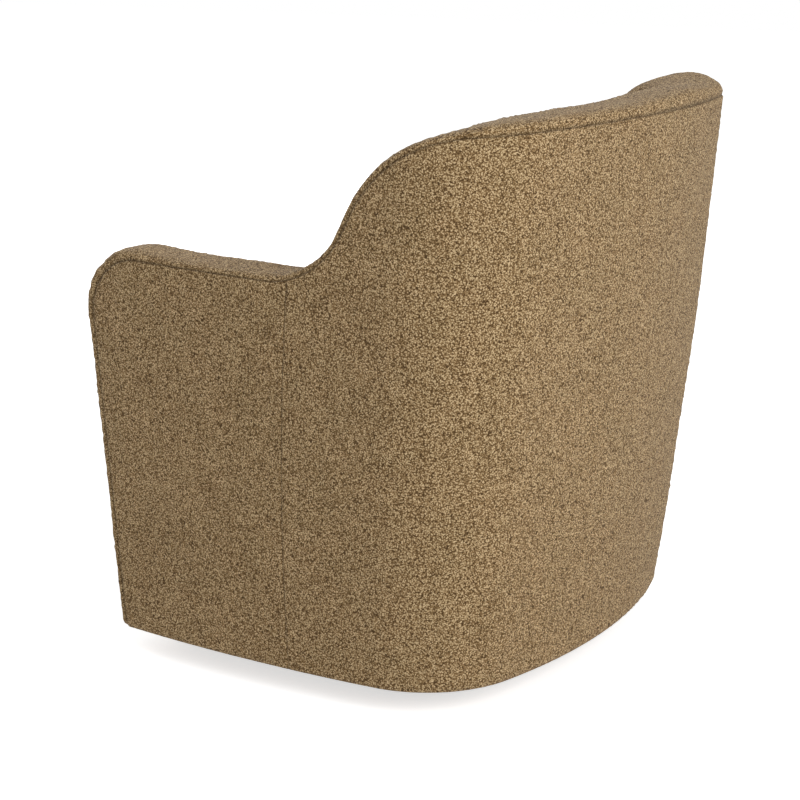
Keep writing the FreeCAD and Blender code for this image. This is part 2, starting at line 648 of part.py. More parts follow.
def cylinder_x(name, radius, x0, x1, y, z):
    """Cylinder along X."""
    obj = doc.addObject("Part::Cylinder", name)
    obj.Placement = FreeCAD.Placement(V(0, 0, 0), FreeCAD.Rotation(V(0, 1, 0), 90))
    obj.setExpression("Radius", rule(radius))
    obj.setExpression("Height", rule(f"({x1}) - ({x0})"))
    return place(obj, x0, y, z)


def hexagon(name, radius, z0, z1, x="0", y="0"):
    obj = doc.addObject("Part::Prism", name)
    obj.Polygon = 6
    obj.setExpression("Circumradius", rule(radius))
    obj.setExpression("Height", rule(f"({z1}) - ({z0})"))
    return place(obj, x, y, z0)


# Levels of the base and the bearing, from the floor up
ring_top = "glideHeight + ringHeight"
arms_top = f"{ring_top} + armHeight"
hub_top = f"{arms_top} + hubHeight"
race_top = f"{hub_top} + raceHeight"
ball_level = f"{race_top} + raceGap / 2"
upper_race_low = f"{race_top} + raceGap"
plate_low = f"{upper_race_low} + raceHeight"
plate_top = f"{plate_low} + plateHeight"


def base():
    """Glides, floor ring, crossed arms and hub plate."""
    glide_circle = "(ringInner + ringOuter) / 2"
    glides = [cylinder(f"glide{k}", "glideRadius", "0", "glideHeight", *turned(45, glide_circle, k, 4))
              for k in range(4)]
    node(group("glide_set", *glides), "floor_glides")
    ring = new_body("ring_body")
    drawing = sketch(ring, "ring_plan", "XY_Plane", "glideHeight")
    circle(drawing, "ringOuter")
    circle(drawing, "ringInner")
    pad(ring, drawing, "ringHeight")
    node(ring, "base_ring")
    arms = new_body("arms_body")
    drawing = sketch(arms, "arm_plan", "XY_Plane", ring_top)
    rectangle(drawing, "-armWidth / 2", "ringOuter - ringHeight", "-armWidth / 2", "armWidth / 2")
    arm = pad(arms, drawing, "armHeight")
    cross = arms.newObject("PartDesign::PolarPattern", "arm_cross")
    cross.Originals = [arm]
    cross.Axis = (drawing, ["N_Axis"])
    cross.Angle = 360
    cross.Occurrences = 4
    arms.Tip = cross
    arms.Placement = FreeCAD.Placement(V(0, 0, 0), FreeCAD.Rotation(V(0, 0, 1), 45))
    doc.recompute()
    bore = cylinder("arm_bore", "boltRadius + boltFit", "0", plate_top)
    node(cut("arms_bored", arms, bore), "base_arms")
    hub = new_body("hub_body")
    drawing = sketch(hub, "hub_plan", "XY_Plane", arms_top)
    circle(drawing, "hubRadius")
    circle(drawing, "boltRadius + boltFit")
    for k in range(4):
        circle(drawing, "screwHole", *turned(0, "hubScrewCircle", k, 4))
    pad(hub, drawing, "hubHeight")
    node(hub, "hub_plate")


def race(name, low):
    """Bearing ring with the balls' track turned into it."""
    body = new_body(f"{name}_body")
    drawing = sketch(body, f"{name}_section", "XZ_Plane")
    rectangle(drawing, "raceInner", "raceOuter", low, f"{low} + raceHeight")
    turn = body.newObject("PartDesign::Revolution", f"{name}_turn")
    turn.Profile = drawing
    turn.ReferenceAxis = (drawing, ["V_Axis"])
    turn.Angle = 360
    doc.recompute()
    track = doc.addObject("Part::Torus", f"{name}_track")
    track.setExpression("Radius1", rule("ballCircle"))
    track.setExpression("Radius2", rule("ballRadius + ballFit"))
    return cut(f"{name}_grooved", body, place(track, z=ball_level))


def bearing():
    """Two races, the caged balls between them, and the bolt that holds the stack together."""
    node(race("lower", hub_top), "lower_race")
    node(race("upper", upper_race_low), "upper_race")
    count = int(mm.ballCount)
    balls = []
    for k in range(count):
        ball = doc.addObject("Part::Sphere", f"ball{k}")
        ball.setExpression("Radius", rule("ballRadius"))
        balls.append(place(ball, *turned(0, "ballCircle", k, count), ball_level))
    node(group("ball_set", *balls), "bearing_balls")
    cage = new_body("cage_body")
    drawing = sketch(cage, "cage_plan", "XY_Plane", f"{ball_level} - cageHeight / 2")
    circle(drawing, "ballCircle + cageWidth / 2")
    circle(drawing, "ballCircle - cageWidth / 2")
    for k in range(count):
        circle(drawing, "ballRadius + ballFit", *turned(0, "ballCircle", k, count))
    pad(cage, drawing, "cageHeight")
    node(cage, "ball_cage")
    washer_low = f"{plate_top} + turnGap"
    nut_low = f"{washer_low} + washerHeight"
    nut_top = f"{nut_low} + nutHeight"
    shaft = cylinder("king_shaft", "boltRadius", ring_top, f"{nut_top} + boltEnd")
    head = hexagon("king_head", "boltHead", f"{ring_top} - boltHeadHeight", ring_top)
    node(fuse("king_bolt_whole", shaft, head), "king_bolt")
    washer = cylinder("king_washer_disc", "washerRadius", washer_low, nut_low)
    nut = hexagon("king_nut_hexagon", "boltHead", nut_low, nut_top)
    bore = cylinder("nut_bore", "boltRadius + boltFit", plate_low, f"{nut_top} + nutHeight")
    nut_set = group("king_nut_set", cut("king_washer", washer, bore), cut("king_nut_bored", nut, bore))
    node(nut_set, "king_nut")


ear_outer = "earInner + sheetSteel"
rail_inner = f"{ear_outer} + railGap"
rail_outer = f"{rail_inner} + sheetSteel"
rocker_half = "crossRailPlace + crossRailWidth / 2"


def swivel_plate():
    """Plate on the upper race, with the bolt's hole."""
    body = new_body("plate_body")
    drawing = sketch(body, "plate_plan", "XY_Plane", plate_low)
    rectangle(drawing, "-plateX", "plateX", "-plateY", "plateY")
    circle(drawing, "boltRadius + boltFit")
    feature = pad(body, drawing, "plateHeight")
    round_uprights(body, feature, "plateCorner")
    node(body, "swivel_plate")


def ear(side, sign):
    """Upright ear that carries a pivot, bent from sheet steel with its foot turned inwards."""
    body = new_body(f"ear_{side}_body")
    start = "earInner" if sign > 0 else f"-({ear_outer})"
    drawing = sketch(body, f"ear_{side}_side", "YZ_Plane", start)
    polygon(drawing, ("-earLength / 2", plate_top), ("earLength / 2", plate_top),
            ("earLength / 2", f"{plate_top} + 2 * sheetSteel"), ("earRadius", "pivotHeight"),
            ("-earRadius", "pivotHeight"), ("-earLength / 2", f"{plate_top} + 2 * sheetSteel"))
    pad(body, drawing, "sheetSteel")
    drawing = sketch(body, f"ear_{side}_boss", "YZ_Plane", start)
    circle(drawing, "earRadius", "0", "pivotHeight")
    pad(body, drawing, "sheetSteel")
    drawing = sketch(body, f"ear_{side}_foot", "XY_Plane", plate_top)
    rectangle(drawing, f"{sign} * ({ear_outer} - earFoot)", f"{sign} * ({ear_outer})",
              "-earLength / 2", "earLength / 2")
    pad(body, drawing, "sheetSteel")
    bore = cylinder_x(f"ear_{side}_bore", "pinRadius + pinFit", f"{start} - sheetSteel",
                      f"{start} + 2 * sheetSteel", "0", "pivotHeight")
    node(cut(f"ear_{side}_bored", body, bore), f"ear_{side}")


def rocker_rail(side, sign):
    """Side rail of the rocker: a web that hangs from the seat flange down to the pivot."""
    body = new_body(f"rail_{side}_body")
    start = rail_inner if sign > 0 else f"-({rail_outer})"
    drawing = sketch(body, f"rail_{side}_web", "YZ_Plane", start)
    polygon(drawing, ("-earRadius", "pivotHeight"), ("earRadius", "pivotHeight"),
            (rocker_half, "rockerTop - rockerSkirt"), (rocker_half, "rockerTop"),
            (f"-({rocker_half})", "rockerTop"), (f"-({rocker_half})", "rockerTop - rockerSkirt"))
    pad(body, drawing, "sheetSteel")
    drawing = sketch(body, f"rail_{side}_boss", "YZ_Plane", start)
    circle(drawing, "earRadius", "0", "pivotHeight")
    pad(body, drawing, "sheetSteel")
    drawing = sketch(body, f"rail_{side}_flange", "XY_Plane", "rockerTop - sheetSteel")
    rectangle(drawing, f"{sign} * ({rail_inner})", f"{sign} * ({rail_inner} + flangeWidth)",
              f"-({rocker_half})", rocker_half)
    for end in (1, -1):
        circle(drawing, "screwRadius + screwFit", f"{sign} * ({screws_x})", f"{end} * crossRailPlace")
    pad(body, drawing, "sheetSteel")
    bore = cylinder_x(f"rail_{side}_bore", "pinRadius + bushWall + pinFit", f"{start} - sheetSteel",
                      f"{start} + 2 * sheetSteel", "0", "pivotHeight")
    node(cut(f"rail_{side}_bored", body, bore), f"rocker_rail_{side}")


def at_pivot(name, radius, side, inner, outer):
    """Cylinder on the pivot's axis between two distances from the middle."""
    ends = (inner, outer) if side == "left" else (f"-({outer})", f"-({inner})")
    return cylinder_x(f"{name}_{side}", radius, *ends, "0", "pivotHeight")


def pivots():
    """Bolt, nut and bush at each pivot."""
    bolts, bushes = [], []
    nut_start = f"{rail_outer} + seam"
    nut_end = f"{nut_start} + pinNut"
    for side in ("left", "right"):
        shaft = at_pivot("pin_shaft", "pinRadius", side, "earInner", f"{nut_end} + boltEnd")
        head = at_pivot("pin_head", "pinHead", side, "earInner - pinHeadHeight", "earInner")
        nut = at_pivot("pin_nut", "pinHead", side, nut_start, nut_end)
        bolts.append(fuse(f"pin_{side}", shaft, head, nut))
        tube = at_pivot("bush_tube", "pinRadius + bushWall", side, rail_inner, rail_outer)
        bore = at_pivot("bush_bore", "pinRadius + pinFit", side, f"{rail_inner} - seam", f"{rail_outer} + seam")
        bushes.append(cut(f"bush_{side}", tube, bore))
    node(group("pin_pair", *bolts), "pivot_bolts")
    node(group("bush_pair", *bushes), "pivot_bushes")


boss_radius = "springRadius - wireRadius - bossFit"


def seat_bar(name, sign):
    """Bar across the rocker rails, with a boss in the top of each spring under it."""
    bar = box(f"{name}_flat", f"-({rail_inner})", rail_inner, f"{sign} * springY - seatBarWidth / 2",
              f"{sign} * springY + seatBarWidth / 2", "seatBarLevel", "seatBarLevel + seatBarHeight")
    bosses = [cylinder(f"{name}_boss{k}", boss_radius, "seatBarLevel - bossHeight", "seatBarLevel",
                       f"{k} * springX", f"{sign} * springY") for k in (1, -1)]
    node(fuse(f"{name}_whole", bar, *bosses), name)


def stops():
    """Posts with rubber pads that stop the rocker at each end of its travel."""
    posts, pads_made = [], []
    for name, sign, angle in (("rear", 1, "rockBack"), ("front", -1, "rockFront")):
        top = (f"pivotHeight + (seatBarLevel - pivotHeight) * cos({angle} * 1 deg)"
               f" - (springY + stopRadius) * sin({angle} * 1 deg) - stopGap")
        spot = ("0", f"{sign} * springY")
        posts.append(cylinder(f"stop_{name}_post", "stopRadius", plate_top, f"{top} - stopPad", *spot))
        pads_made.append(cylinder(f"stop_{name}_pad", "stopRadius", f"{top} - stopPad", top, *spot))
    node(group("stop_post_pair", *posts), "stop_posts")
    node(group("stop_pad_pair", *pads_made), "stop_pads")


def seat_screws():
    """Screws up through the rocker's flanges into the cross rails."""
    screws = []
    for k, spot in enumerate(screw_spots):
        under = "rockerTop - sheetSteel"
        shaft = cylinder(f"seat_screw_shaft{k}", "screwRadius", under, "rockerTop + screwDepth", *spot)
        head = cylinder(f"seat_screw_head{k}", "screwHead", f"{under} - screwHeadHeight", under, *spot)
        screws.append(fuse(f"seat_screw{k}", shaft, head))
    node(group("seat_screw_set", *screws), "seat_screws")


# Coil springs
def coil_route(bottom, top, radius, turns, wire):
    """Points and directions each half turn along a spring with a closed turn at each end."""
    closed = 2 * wire + 2 * mm.seam
    open_rise = (top - bottom - 2 * closed) / turns
    slopes = [closed / 2] * 2 + [open_rise / 2] * (2 * turns) + [closed / 2] * 2
    heights = [bottom]
    for slope in slopes:
        heights.append(heights[-1] + slope)
    route = []
    for k, z in enumerate(heights):
        angle = k * math.pi
        before, after = slopes[max(k - 1, 0)], slopes[min(k, len(slopes) - 1)]
        climb = (before + after) / 2 / math.pi
        spot = V(radius * math.cos(angle), radius * math.sin(angle), z)
        heading = V(-radius * math.sin(angle), radius * math.cos(angle), climb)
        route.append((spot, heading.normalize()))
    return route


def half_arc(start, heading, end):
    """Arc that leaves start along heading and ends at end."""
    chord = end - start
    along = chord.normalize()
    across = heading - along * heading.dot(along)
    half = heading.getAngle(along) / 2
    middle = (start + end) / 2 + across.normalize() * ((end - start).Length / 2 * math.tan(half))
    return Part.Arc(start, middle, end).toShape()


def biarc(a, a_way, b, b_way):
    """Two arcs that join a to b with the given directions."""
    gap = b - a
    total = a_way + b_way
    dot = gap.dot(total)
    spread = 2 * (1 - a_way.dot(b_way))
    reach = (-dot + math.sqrt(dot ** 2 + spread * gap.dot(gap))) / spread
    joint = (a + a_way * reach + b - b_way * reach) / 2
    return [half_arc(a, a_way, joint), half_arc(b, b_way * -1, joint)]


def coil_spring(name, x, y):
    bottom = value(plate_top) + mm.wireRadius + mm.seam
    top = mm.seatBarLevel - mm.wireRadius - mm.seam
    route = coil_route(bottom, top, mm.springRadius, int(mm.springTurns), mm.wireRadius)
    edges = []
    for (a, a_way), (b, b_way) in zip(route, route[1:]):
        edges += biarc(a, a_way, b, b_way)
    path = Part.Wire(Part.__sortEdges__(edges))
    section = Part.Wire([Part.Circle(route[0][0], route[0][1], mm.wireRadius).toShape()])
    coil = doc.addObject("Part::Feature", name)
    coil.Shape = path.makePipeShell([section], True, False)
    place(coil, x, y)
    line = path.discretize(Number=40 * len(route))
    turn = 2 * math.pi * mm.springRadius
    apart = int(0.6 * turn / (path.Length / len(line)))
    least = min((a - b).Length for i, a in enumerate(line) for b in line[i + apart:]) - 2 * mm.wireRadius
    length_ratio = coil.Shape.Volume / (math.pi * mm.wireRadius ** 2 * path.Length)
    print(f"{name}: least gap between turns {least:.2f} mm, volume to section times length {length_ratio:.4f}")
    return coil


base()
bearing()
swivel_plate()
for side, sign in (("left", 1), ("right", -1)):
    ear(side, sign)
    rocker_rail(side, sign)
pivots()
seat_bar("seat_bar_front", -1)
seat_bar("seat_bar_rear", 1)
stops()
seat_screws()
spring_spots = [(f"{sx} * springX", f"{sy} * springY") for sx in (1, -1) for sy in (1, -1)]
boss_z = (plate_top, f"{plate_top} + bossHeight")
seats = [cylinder(f"spring_seat{k}", boss_radius, *boss_z, *spot) for k, spot in enumerate(spring_spots)]
node(group("spring_seat_set", *seats), "spring_seats")
springs = [coil_spring(f"spring{k}", *spot) for k, spot in enumerate(spring_spots)]
node(group("spring_set", *springs), "coil_springs")

# Every piece is checked, then written
doc.recompute()
failed = [obj.Name for obj in doc.Objects if {"Invalid", "Error"} & set(obj.State)]
if failed:
    raise RuntimeError(f"failed features: {failed}")
for piece in nodes:
    if piece.Shape.isNull() or not piece.Shape.isValid() or not piece.Shape.Solids:
        raise RuntimeError(f"{piece.Label} has no sound shape")
os.makedirs("parts", exist_ok=True)
for piece in nodes:
    piece.Shape.exportStep(f"parts/{piece.Label}.step")
print(len(nodes), "nodes written")
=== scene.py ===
import bpy
import bmesh
import json
import math
import numpy as np
from mathutils import Matrix, Vector
from mathutils.kdtree import KDTree


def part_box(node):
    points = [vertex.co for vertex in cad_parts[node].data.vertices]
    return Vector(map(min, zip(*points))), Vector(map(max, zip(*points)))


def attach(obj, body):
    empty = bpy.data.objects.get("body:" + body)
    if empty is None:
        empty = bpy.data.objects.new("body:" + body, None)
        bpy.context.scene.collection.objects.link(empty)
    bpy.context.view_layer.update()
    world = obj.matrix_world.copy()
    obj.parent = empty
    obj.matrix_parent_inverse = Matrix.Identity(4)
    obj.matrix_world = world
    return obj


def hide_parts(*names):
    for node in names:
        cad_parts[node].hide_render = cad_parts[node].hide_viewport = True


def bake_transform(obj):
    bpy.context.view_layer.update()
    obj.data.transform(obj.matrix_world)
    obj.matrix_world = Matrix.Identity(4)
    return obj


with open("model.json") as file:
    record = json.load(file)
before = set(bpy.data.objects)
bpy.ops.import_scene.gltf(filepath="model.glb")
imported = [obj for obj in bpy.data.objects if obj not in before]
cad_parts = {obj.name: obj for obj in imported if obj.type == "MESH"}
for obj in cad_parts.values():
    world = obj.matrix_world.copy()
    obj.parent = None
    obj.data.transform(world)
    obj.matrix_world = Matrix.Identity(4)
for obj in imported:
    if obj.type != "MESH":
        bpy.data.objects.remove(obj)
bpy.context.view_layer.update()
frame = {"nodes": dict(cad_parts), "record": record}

# Driving dimensions of the upholstered body, in metres, as the construction has them
HEM, TOP_LEVEL = 0.042, 0.912
FRONT_HALF = (0.3655, 0.386)
REAR_HALF = (0.3575, 0.404)
REAR_BULGE = 0.0155
FRONT_REACH, FRONT_LEAN = 0.3435, 0.0595
BACK_REACH, BACK_LEAN, BACK_BULGE = 0.3015, 0.0835, 0.004
BACK_BOW = (0.071, 0.079)
SIDE_BOW = (0.0165, 0.007)
REAR_CORNER, INNER_CORNER, INNER_BOW = 0.170, 0.085, 0.060
ARM_THICKNESS = 0.092
BACK_PAD_SEAT, BACK_PAD_TOP = 0.165, 0.100
DECK = 0.338
ARM_SEAM_FRONT, ARM_SEAM_REAR, NOTCH_Y = 0.622, 0.6165, 0.053
WING_Y, WING_SEAM, BACK_SEAM = 0.161, 0.8235, 0.8375
ARM_ROUND, NOTCH_ROUND, WING_ROUND = 0.090, 0.150, 0.215
FRONT_TUCK, RISES = 0.009, (0.0055, 0.0085, 0.012, 0.019)
PANEL_SEAM = (-0.022, 0.0015)
PANEL_SEAM_SAG = 0.008
PAD_JOINT = 0.095

CUSHION_HEIGHT, CUSHION_CROWN, CUSHION_FRONT = 0.112, 0.014, -0.374
CUSHION_CORNER, CUSHION_GAP = 0.042, 0.0025
SEAT_BOARD_TOP, WEB_WIDTH, WEB_PITCH, WEB_THICKNESS = 0.322, 0.050, 0.086, 0.002
SPRING_X, SPRING_Y, SPRING_RADIUS, WIRE_RADIUS, SPRING_TURNS = 0.050, 0.105, 0.021, 0.0036, 3

# Sizes of the cloth's own shapes
MESH_STEP = 0.0055
SEAM_ROLL, SEAM_DEPTH, FAINT_SEAM = 0.0028, 0.0036, 0.6
HEM_ROLL, SKIRT, HUB_REACH, FRONT_LAP = 0.007, HEM - 0.004, 0.15, 0.003
CLOTH_THICKNESS = 0.003
NUB_HEIGHT = 0.0005
NUB_PITCH, LOOP_SCALE = 420.0, 700.0
FIBRE_SCALE, PATCH_SCALE = 1100.0, 16.0
# The last of these sets the painted shade in the gaps between the loops
TONE_START, TONE_SHARE, LOOP_SHARE, FIBRE_SHARE, PAINTED_GAP_SHADE = 0.60, 0.15, 0.6, 0.40, 1.25
BOUCLE_TONES = [
    (0.10, (0.092, 0.051, 0.021)),
    (0.40, (0.236, 0.142, 0.060)),
    (0.62, (0.370, 0.237, 0.108)),
    (0.95, (0.790, 0.590, 0.345)),
]
# Painted shade along the seams: the attribute that marks them, the dark colour, the width of the line and
# how strongly it darkens
SEAM_SHADE, SEAM_SHADE_COLOUR, SEAM_LINE, SEAM_SHADE_STRENGTH = "seam_shade", (0.045, 0.027, 0.012), 0.0017, 0.75
SEAM_STEP, WAVE_FADE, NUB_FADE = 0.001, 0.03, 0.004
ARM_HUB, INNER_ARM_HUB = (-0.16, 0.34), (-0.13, 0.47)
PAD_CLEAR = 0.0005
BAND_COLUMNS, BAND_SQUARENESS, BAND_SKIRT = 27, 3.4, 0.004
BAND_TUCK, BAND_HEM, HEM_LIFT, BAND_WRAP_Y = 0.0022, 0.011, 0.001, 0.0
PUFFS = ((-0.37, 0.200, 0.105, 0.0205), (-0.33, 0.145, 0.050, 0.013), (-0.12, 0.370, 0.120, 0.007),
         (0.36, 0.240, 0.065, -0.0065))
PUFF_DEPTH, ARM_PUFF, ARM_PUFF_SPOT, ARM_PUFF_REACH = 0.09, 0.0085, (-0.34, 0.61), 0.08
PAD_FILL, PAD_DEPTH = 0.006, 0.026
TOP_ROLL, TOP_ROLL_RISE = 0.034, 0.009
CUSHION_STEP, CUSHION_PRESSURE, CUSHION_FRAMES, CUSHION_CAP = 0.010, 4.0, 20, 0.012
EASE_RINGS = (0.090, 0.130)
DUST_STEP, DUST_THICKNESS = 0.008, 0.0012
SCREW_X, SCREW_Y, SCREW_CLEAR = 0.1295, 0.150, 0.011
BACK_WEB_LEVEL, BACK_WEB_PITCH, REAR_POST_PLACE = 0.360, 0.092, 0.108

# Camera and light
CAMERA_PLACE, CAMERA_BACK, CAMERA_LENS = (2.547, 1.531, 1.1276), (0.8207, 0.5147, 0.2481), 88.01
FLOOR_LIFT, FILL_LEVEL = 0.62, 0.50
KEY_POWER, SIDE_POWER, FRONT_POWER = 108.0, 1.0, 60.0
FLOOR_REACH, LAMP_TARGET = 14.0, (0, 0, 0.45)

# Walls of the body as plan outlines
def between(pair, t):
    return pair[0] + (pair[1] - pair[0]) * t


def plan(z, inner=False):
    """Circles of the plan outline at height z, side, corner and back, and the angles where they meet."""
    t = (z - HEM) / (TOP_LEVEL - HEM)
    swell = 4 * t * (1 - t)
    fx = between(FRONT_HALF, t)
    vx = between(REAR_HALF, t) + REAR_BULGE * swell
    fy = -FRONT_REACH - FRONT_LEAN * t
    ry = BACK_REACH + BACK_LEAN * t + BACK_BULGE * swell
    bow, corner = between(BACK_BOW, t), REAR_CORNER
    if inner:
        seat = (DECK - HEM) / (TOP_LEVEL - HEM)
        fx -= ARM_THICKNESS
        vx -= ARM_THICKNESS
        ry -= between((BACK_PAD_SEAT, BACK_PAD_TOP), (t - seat) / (1 - seat))
        bow, corner = INNER_BOW, INNER_CORNER
    vy = ry - bow
    side = between(SIDE_BOW, t)
    back_r = (vx ** 2 + bow ** 2) / (2 * bow)
    chord = math.hypot(vx - fx, vy - fy)
    ux, uy = (vx - fx) / chord, (vy - fy) / chord
    side_r = (chord ** 2 / 4 + side ** 2) / (2 * side)
    side_c = np.array([(fx + vx) / 2 - uy * (side_r - side), (fy + vy) / 2 + ux * (side_r - side)])
    back_c = np.array([0.0, ry - back_r])
    r0, r1 = side_r - corner, back_r - corner
    gap = back_c - side_c
    dist = np.hypot(*gap)
    along = (r0 ** 2 - r1 ** 2 + dist ** 2) / (2 * dist)
    off = math.sqrt(r0 ** 2 - along ** 2)
    spots = [side_c + (gap * along + s * off * np.array([gap[1], -gap[0]])) / dist for s in (1, -1)]
    corner_c = max(spots, key=lambda spot: spot[0])
    return {
        "side": (side_c, side_r),
        "corner": (corner_c, corner),
        "back": (back_c, back_r),
        "turns": (math.atan2(*(corner_c - side_c)[::-1]), math.atan2(*(corner_c - back_c)[::-1])),
    }


def side_x(shape, y):
    """X of the side wall at y, for a place in front of the corner."""
    centre, radius = shape["side"]
    return centre[0] + math.sqrt(radius ** 2 - (y - centre[1]) ** 2)


def outline(shape, y_start, fractions):
    """Points and outward directions along half of the outline, from y_start to the middle of the back."""
    (side_c, side_r), (corner_c, corner_r), (back_c, back_r) = (
        shape[name] for name in ("side", "corner", "back"))
    at_side, at_back = shape["turns"]
    start = math.asin((y_start - side_c[1]) / side_r)
    arcs = [(side_c, side_r, start, at_side), (corner_c, corner_r, at_side, at_back),
            (back_c, back_r, at_back, math.pi / 2)]
    lengths = np.array([radius * (b - a) for _, radius, a, b in arcs])
    ends = np.concatenate([[0.0], np.cumsum(lengths)])
    run = np.asarray(fractions) * ends[-1]
    which = np.clip(np.searchsorted(ends, run, side="right") - 1, 0, 2)
    centres = np.array([arcs[k][0] for k in which])
    radii = np.array([arcs[k][1] for k in which])
    angles = np.array([arcs[k][2] for k in which]) + (run - ends[which]) / radii
    way = np.stack([np.cos(angles), np.sin(angles)], 1)
    return centres + way * radii[:, None], way


# Side profile of the rim seam
def rounded(points, radii, step=0.002):
    """Points along an open path of straight runs with round corners."""
    out = [np.array(points[0])]
    for a, p, b, radius in zip(points, points[1:], points[2:], radii):
        a, p, b = (np.array(q) for q in (a, p, b))
        to_a, to_b = (a - p) / np.hypot(*(a - p)), (b - p) / np.hypot(*(b - p))
        half = math.acos(np.clip(to_a @ to_b, -1, 1)) / 2
        centre = p + (to_a + to_b) / np.hypot(*(to_a + to_b)) * radius / math.sin(half)
        start, end = p + to_a * radius / math.tan(half), p + to_b * radius / math.tan(half)
        first = math.atan2(*(start - centre)[::-1])
        turn = math.atan2(*(end - centre)[::-1]) - first
        turn = (turn + math.pi) % (2 * math.pi) - math.pi
        count = max(int(abs(turn) * radius / step), 4)
        for k in range(count + 1):
            angle = first + turn * k / count
            out.append(centre + radius * np.array([math.cos(angle), math.sin(angle)]))
    out.append(np.array(points[-1]))
    return np.array(out)


def crossing(a, b, c, d):
    """Where the line through a and b meets the line through c and d."""
    first, second = b - a, d - c
    k = ((c - a)[0] * second[1] - (c - a)[1] * second[0]) / (first[0] * second[1] - first[1] * second[0])
    return a + first * k


def rim_side(rises):
    """Side profile of the rim from the front hem to the back, each stretch moved out by its own rise."""
    front_top = FRONT_REACH + FRONT_LEAN * (ARM_SEAM_FRONT - HEM) / (TOP_LEVEL - HEM)
    knots = [(-FRONT_REACH, HEM), (-front_top, ARM_SEAM_FRONT), (NOTCH_Y, ARM_SEAM_REAR),
             (WING_Y, WING_SEAM), (BACK_REACH + BACK_LEAN, BACK_SEAM)]
    knots = [np.array(knot) for knot in knots]
    lines = []
    for a, b, rise in zip(knots, knots[1:], rises):
        along = (b - a) / np.hypot(*(b - a))
        off = np.array([-along[1], along[0]]) * rise
        lines.append((a + off, b + off))
    low = crossing(*lines[0], np.array([0.0, HEM]), np.array([1.0, HEM]))
    turns = [crossing(*a, *b) for a, b in zip(lines, lines[1:])]
    radii = [ARM_ROUND + rises[1], NOTCH_ROUND - rises[1], WING_ROUND + rises[3]]
    return even(rounded([low, *turns, lines[3][1]], radii), 0.002)


def even(points, step):
    """The same path in even steps."""
    points = np.asarray(points, float)
    run = np.concatenate([[0], np.cumsum(np.linalg.norm(np.diff(points, axis=0), axis=1))])
    count = max(int(round(run[-1] / step)), 2)
    places = np.linspace(0, run[-1], count + 1)
    return np.stack([np.interp(places, run, points[:, k]) for k in range(points.shape[1])], 1)


PROFILE = rim_side((-FRONT_TUCK, 0.0, 0.0, 0.0))
CROWN_PROFILE = rim_side(RISES)
ARM_TOP_START = int(np.argmax(PROFILE[:, 0] > -FRONT_REACH + ARM_ROUND * 0.6))


def seam_z(y):
    """Height of the rim seam at y, behind the arm's front corner."""
    return np.interp(y, PROFILE[ARM_TOP_START:, 0], PROFILE[ARM_TOP_START:, 1])


def panel_seam_y(z):
    """Y of the upright seam between arm panel and back panel."""
    t = np.clip((z - HEM) / (ARM_SEAM_REAR - HEM), 0, 1)
    return between(PANEL_SEAM, t) - 4 * PANEL_SEAM_SAG * t * (1 - t)


# Meshes
def make_piece(name, body, material, slot_name, verts, faces):
    """Smooth object from points and faces, riding on a body, with its finish."""
    mesh = bpy.data.meshes.new(name)
    mesh.from_pydata([tuple(v) for v in verts], [], [tuple(int(k) for k in face) for face in faces])
    mesh.update()
    piece = bpy.data.objects.new(name, mesh)
    bpy.context.scene.collection.objects.link(piece)
    mesh.materials.append(material)
    mesh.polygons.foreach_set("use_smooth", [True] * len(mesh.polygons))
    tidy = bmesh.new()
    tidy.from_mesh(mesh)
    bmesh.ops.recalc_face_normals(tidy, faces=tidy.faces)
    tidy.to_mesh(mesh)
    tidy.free()
    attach(piece, body)
    return piece


def grid_faces(rows, columns, closed=False):
    """Quads of a grid of points, row after row, closed along each row or not."""
    last = columns if closed else columns - 1
    return [(r * columns + c, r * columns + (c + 1) % columns, (r + 1) * columns + (c + 1) % columns,
             (r + 1) * columns + c) for r in range(rows - 1) for c in range(last)]


def grid_border(rows, columns):
    """The points round a grid, in order."""
    return ([c for c in range(columns)] + [r * columns + columns - 1 for r in range(1, rows)]
            + [(rows - 1) * columns + c for c in range(columns - 2, -1, -1)]
            + [r * columns for r in range(rows - 2, 0, -1)])


def thick(outer, inner, faces, border):
    """Points and faces of a closed layer between an outer and an inner set of points."""
    count = len(outer)
    back = [tuple(count + k for k in reversed(face)) for face in faces]
    rim = [(b, a, a + count, b + count) for a, b in zip(border, border[1:] + border[:1])]
    return np.concatenate([outer, inner]), list(faces) + back + rim


def places(length, start_roll, end_roll, step=MESH_STEP):
    """Distances along a run, even in the middle and close together in its rolled ends."""
    start = start_roll * np.array([0.0, 0.12, 0.4]) if start_roll else np.array([])
    end = length - end_roll * np.array([0.4, 0.12, 0.0]) if end_roll else np.array([])
    count = max(int((length - start_roll - end_roll) / step), 4)
    return np.concatenate([start, np.linspace(start_roll, length - end_roll, count), end])


def distance_to(points, line):
    """Distance of each point from a line given by close points."""
    tree = KDTree(len(line))
    for k, spot in enumerate(line):
        tree.insert(spot, k)
    tree.balance()
    return np.array([tree.find(point)[2] for point in points])


def roll_depth(distance, width, depth):
    """Depth of a rolled edge at a distance from its seam."""
    near = np.clip(1 - distance / width, 0, 1)
    return depth * (1 - np.sqrt(1 - near ** 2))


def shade_seams(piece, distance, faint=None):
    """Marks how near a seam, or a fainter one, each of a piece's first points is, as the mask of the painted
    shade along the seams.
    """
    near = np.zeros(len(piece.data.vertices), dtype=np.float32)
    near[:len(distance)] = np.clip(1 - distance / SEAM_LINE, 0, 1)
    if faint is not None:
        weak = FAINT_SEAM * np.clip(1 - faint / SEAM_LINE, 0, 1)
        near[:len(distance)] = np.maximum(near[:len(distance)], weak)
    piece.data.attributes.new(SEAM_SHADE, "FLOAT", "POINT").data.foreach_set("value", near)


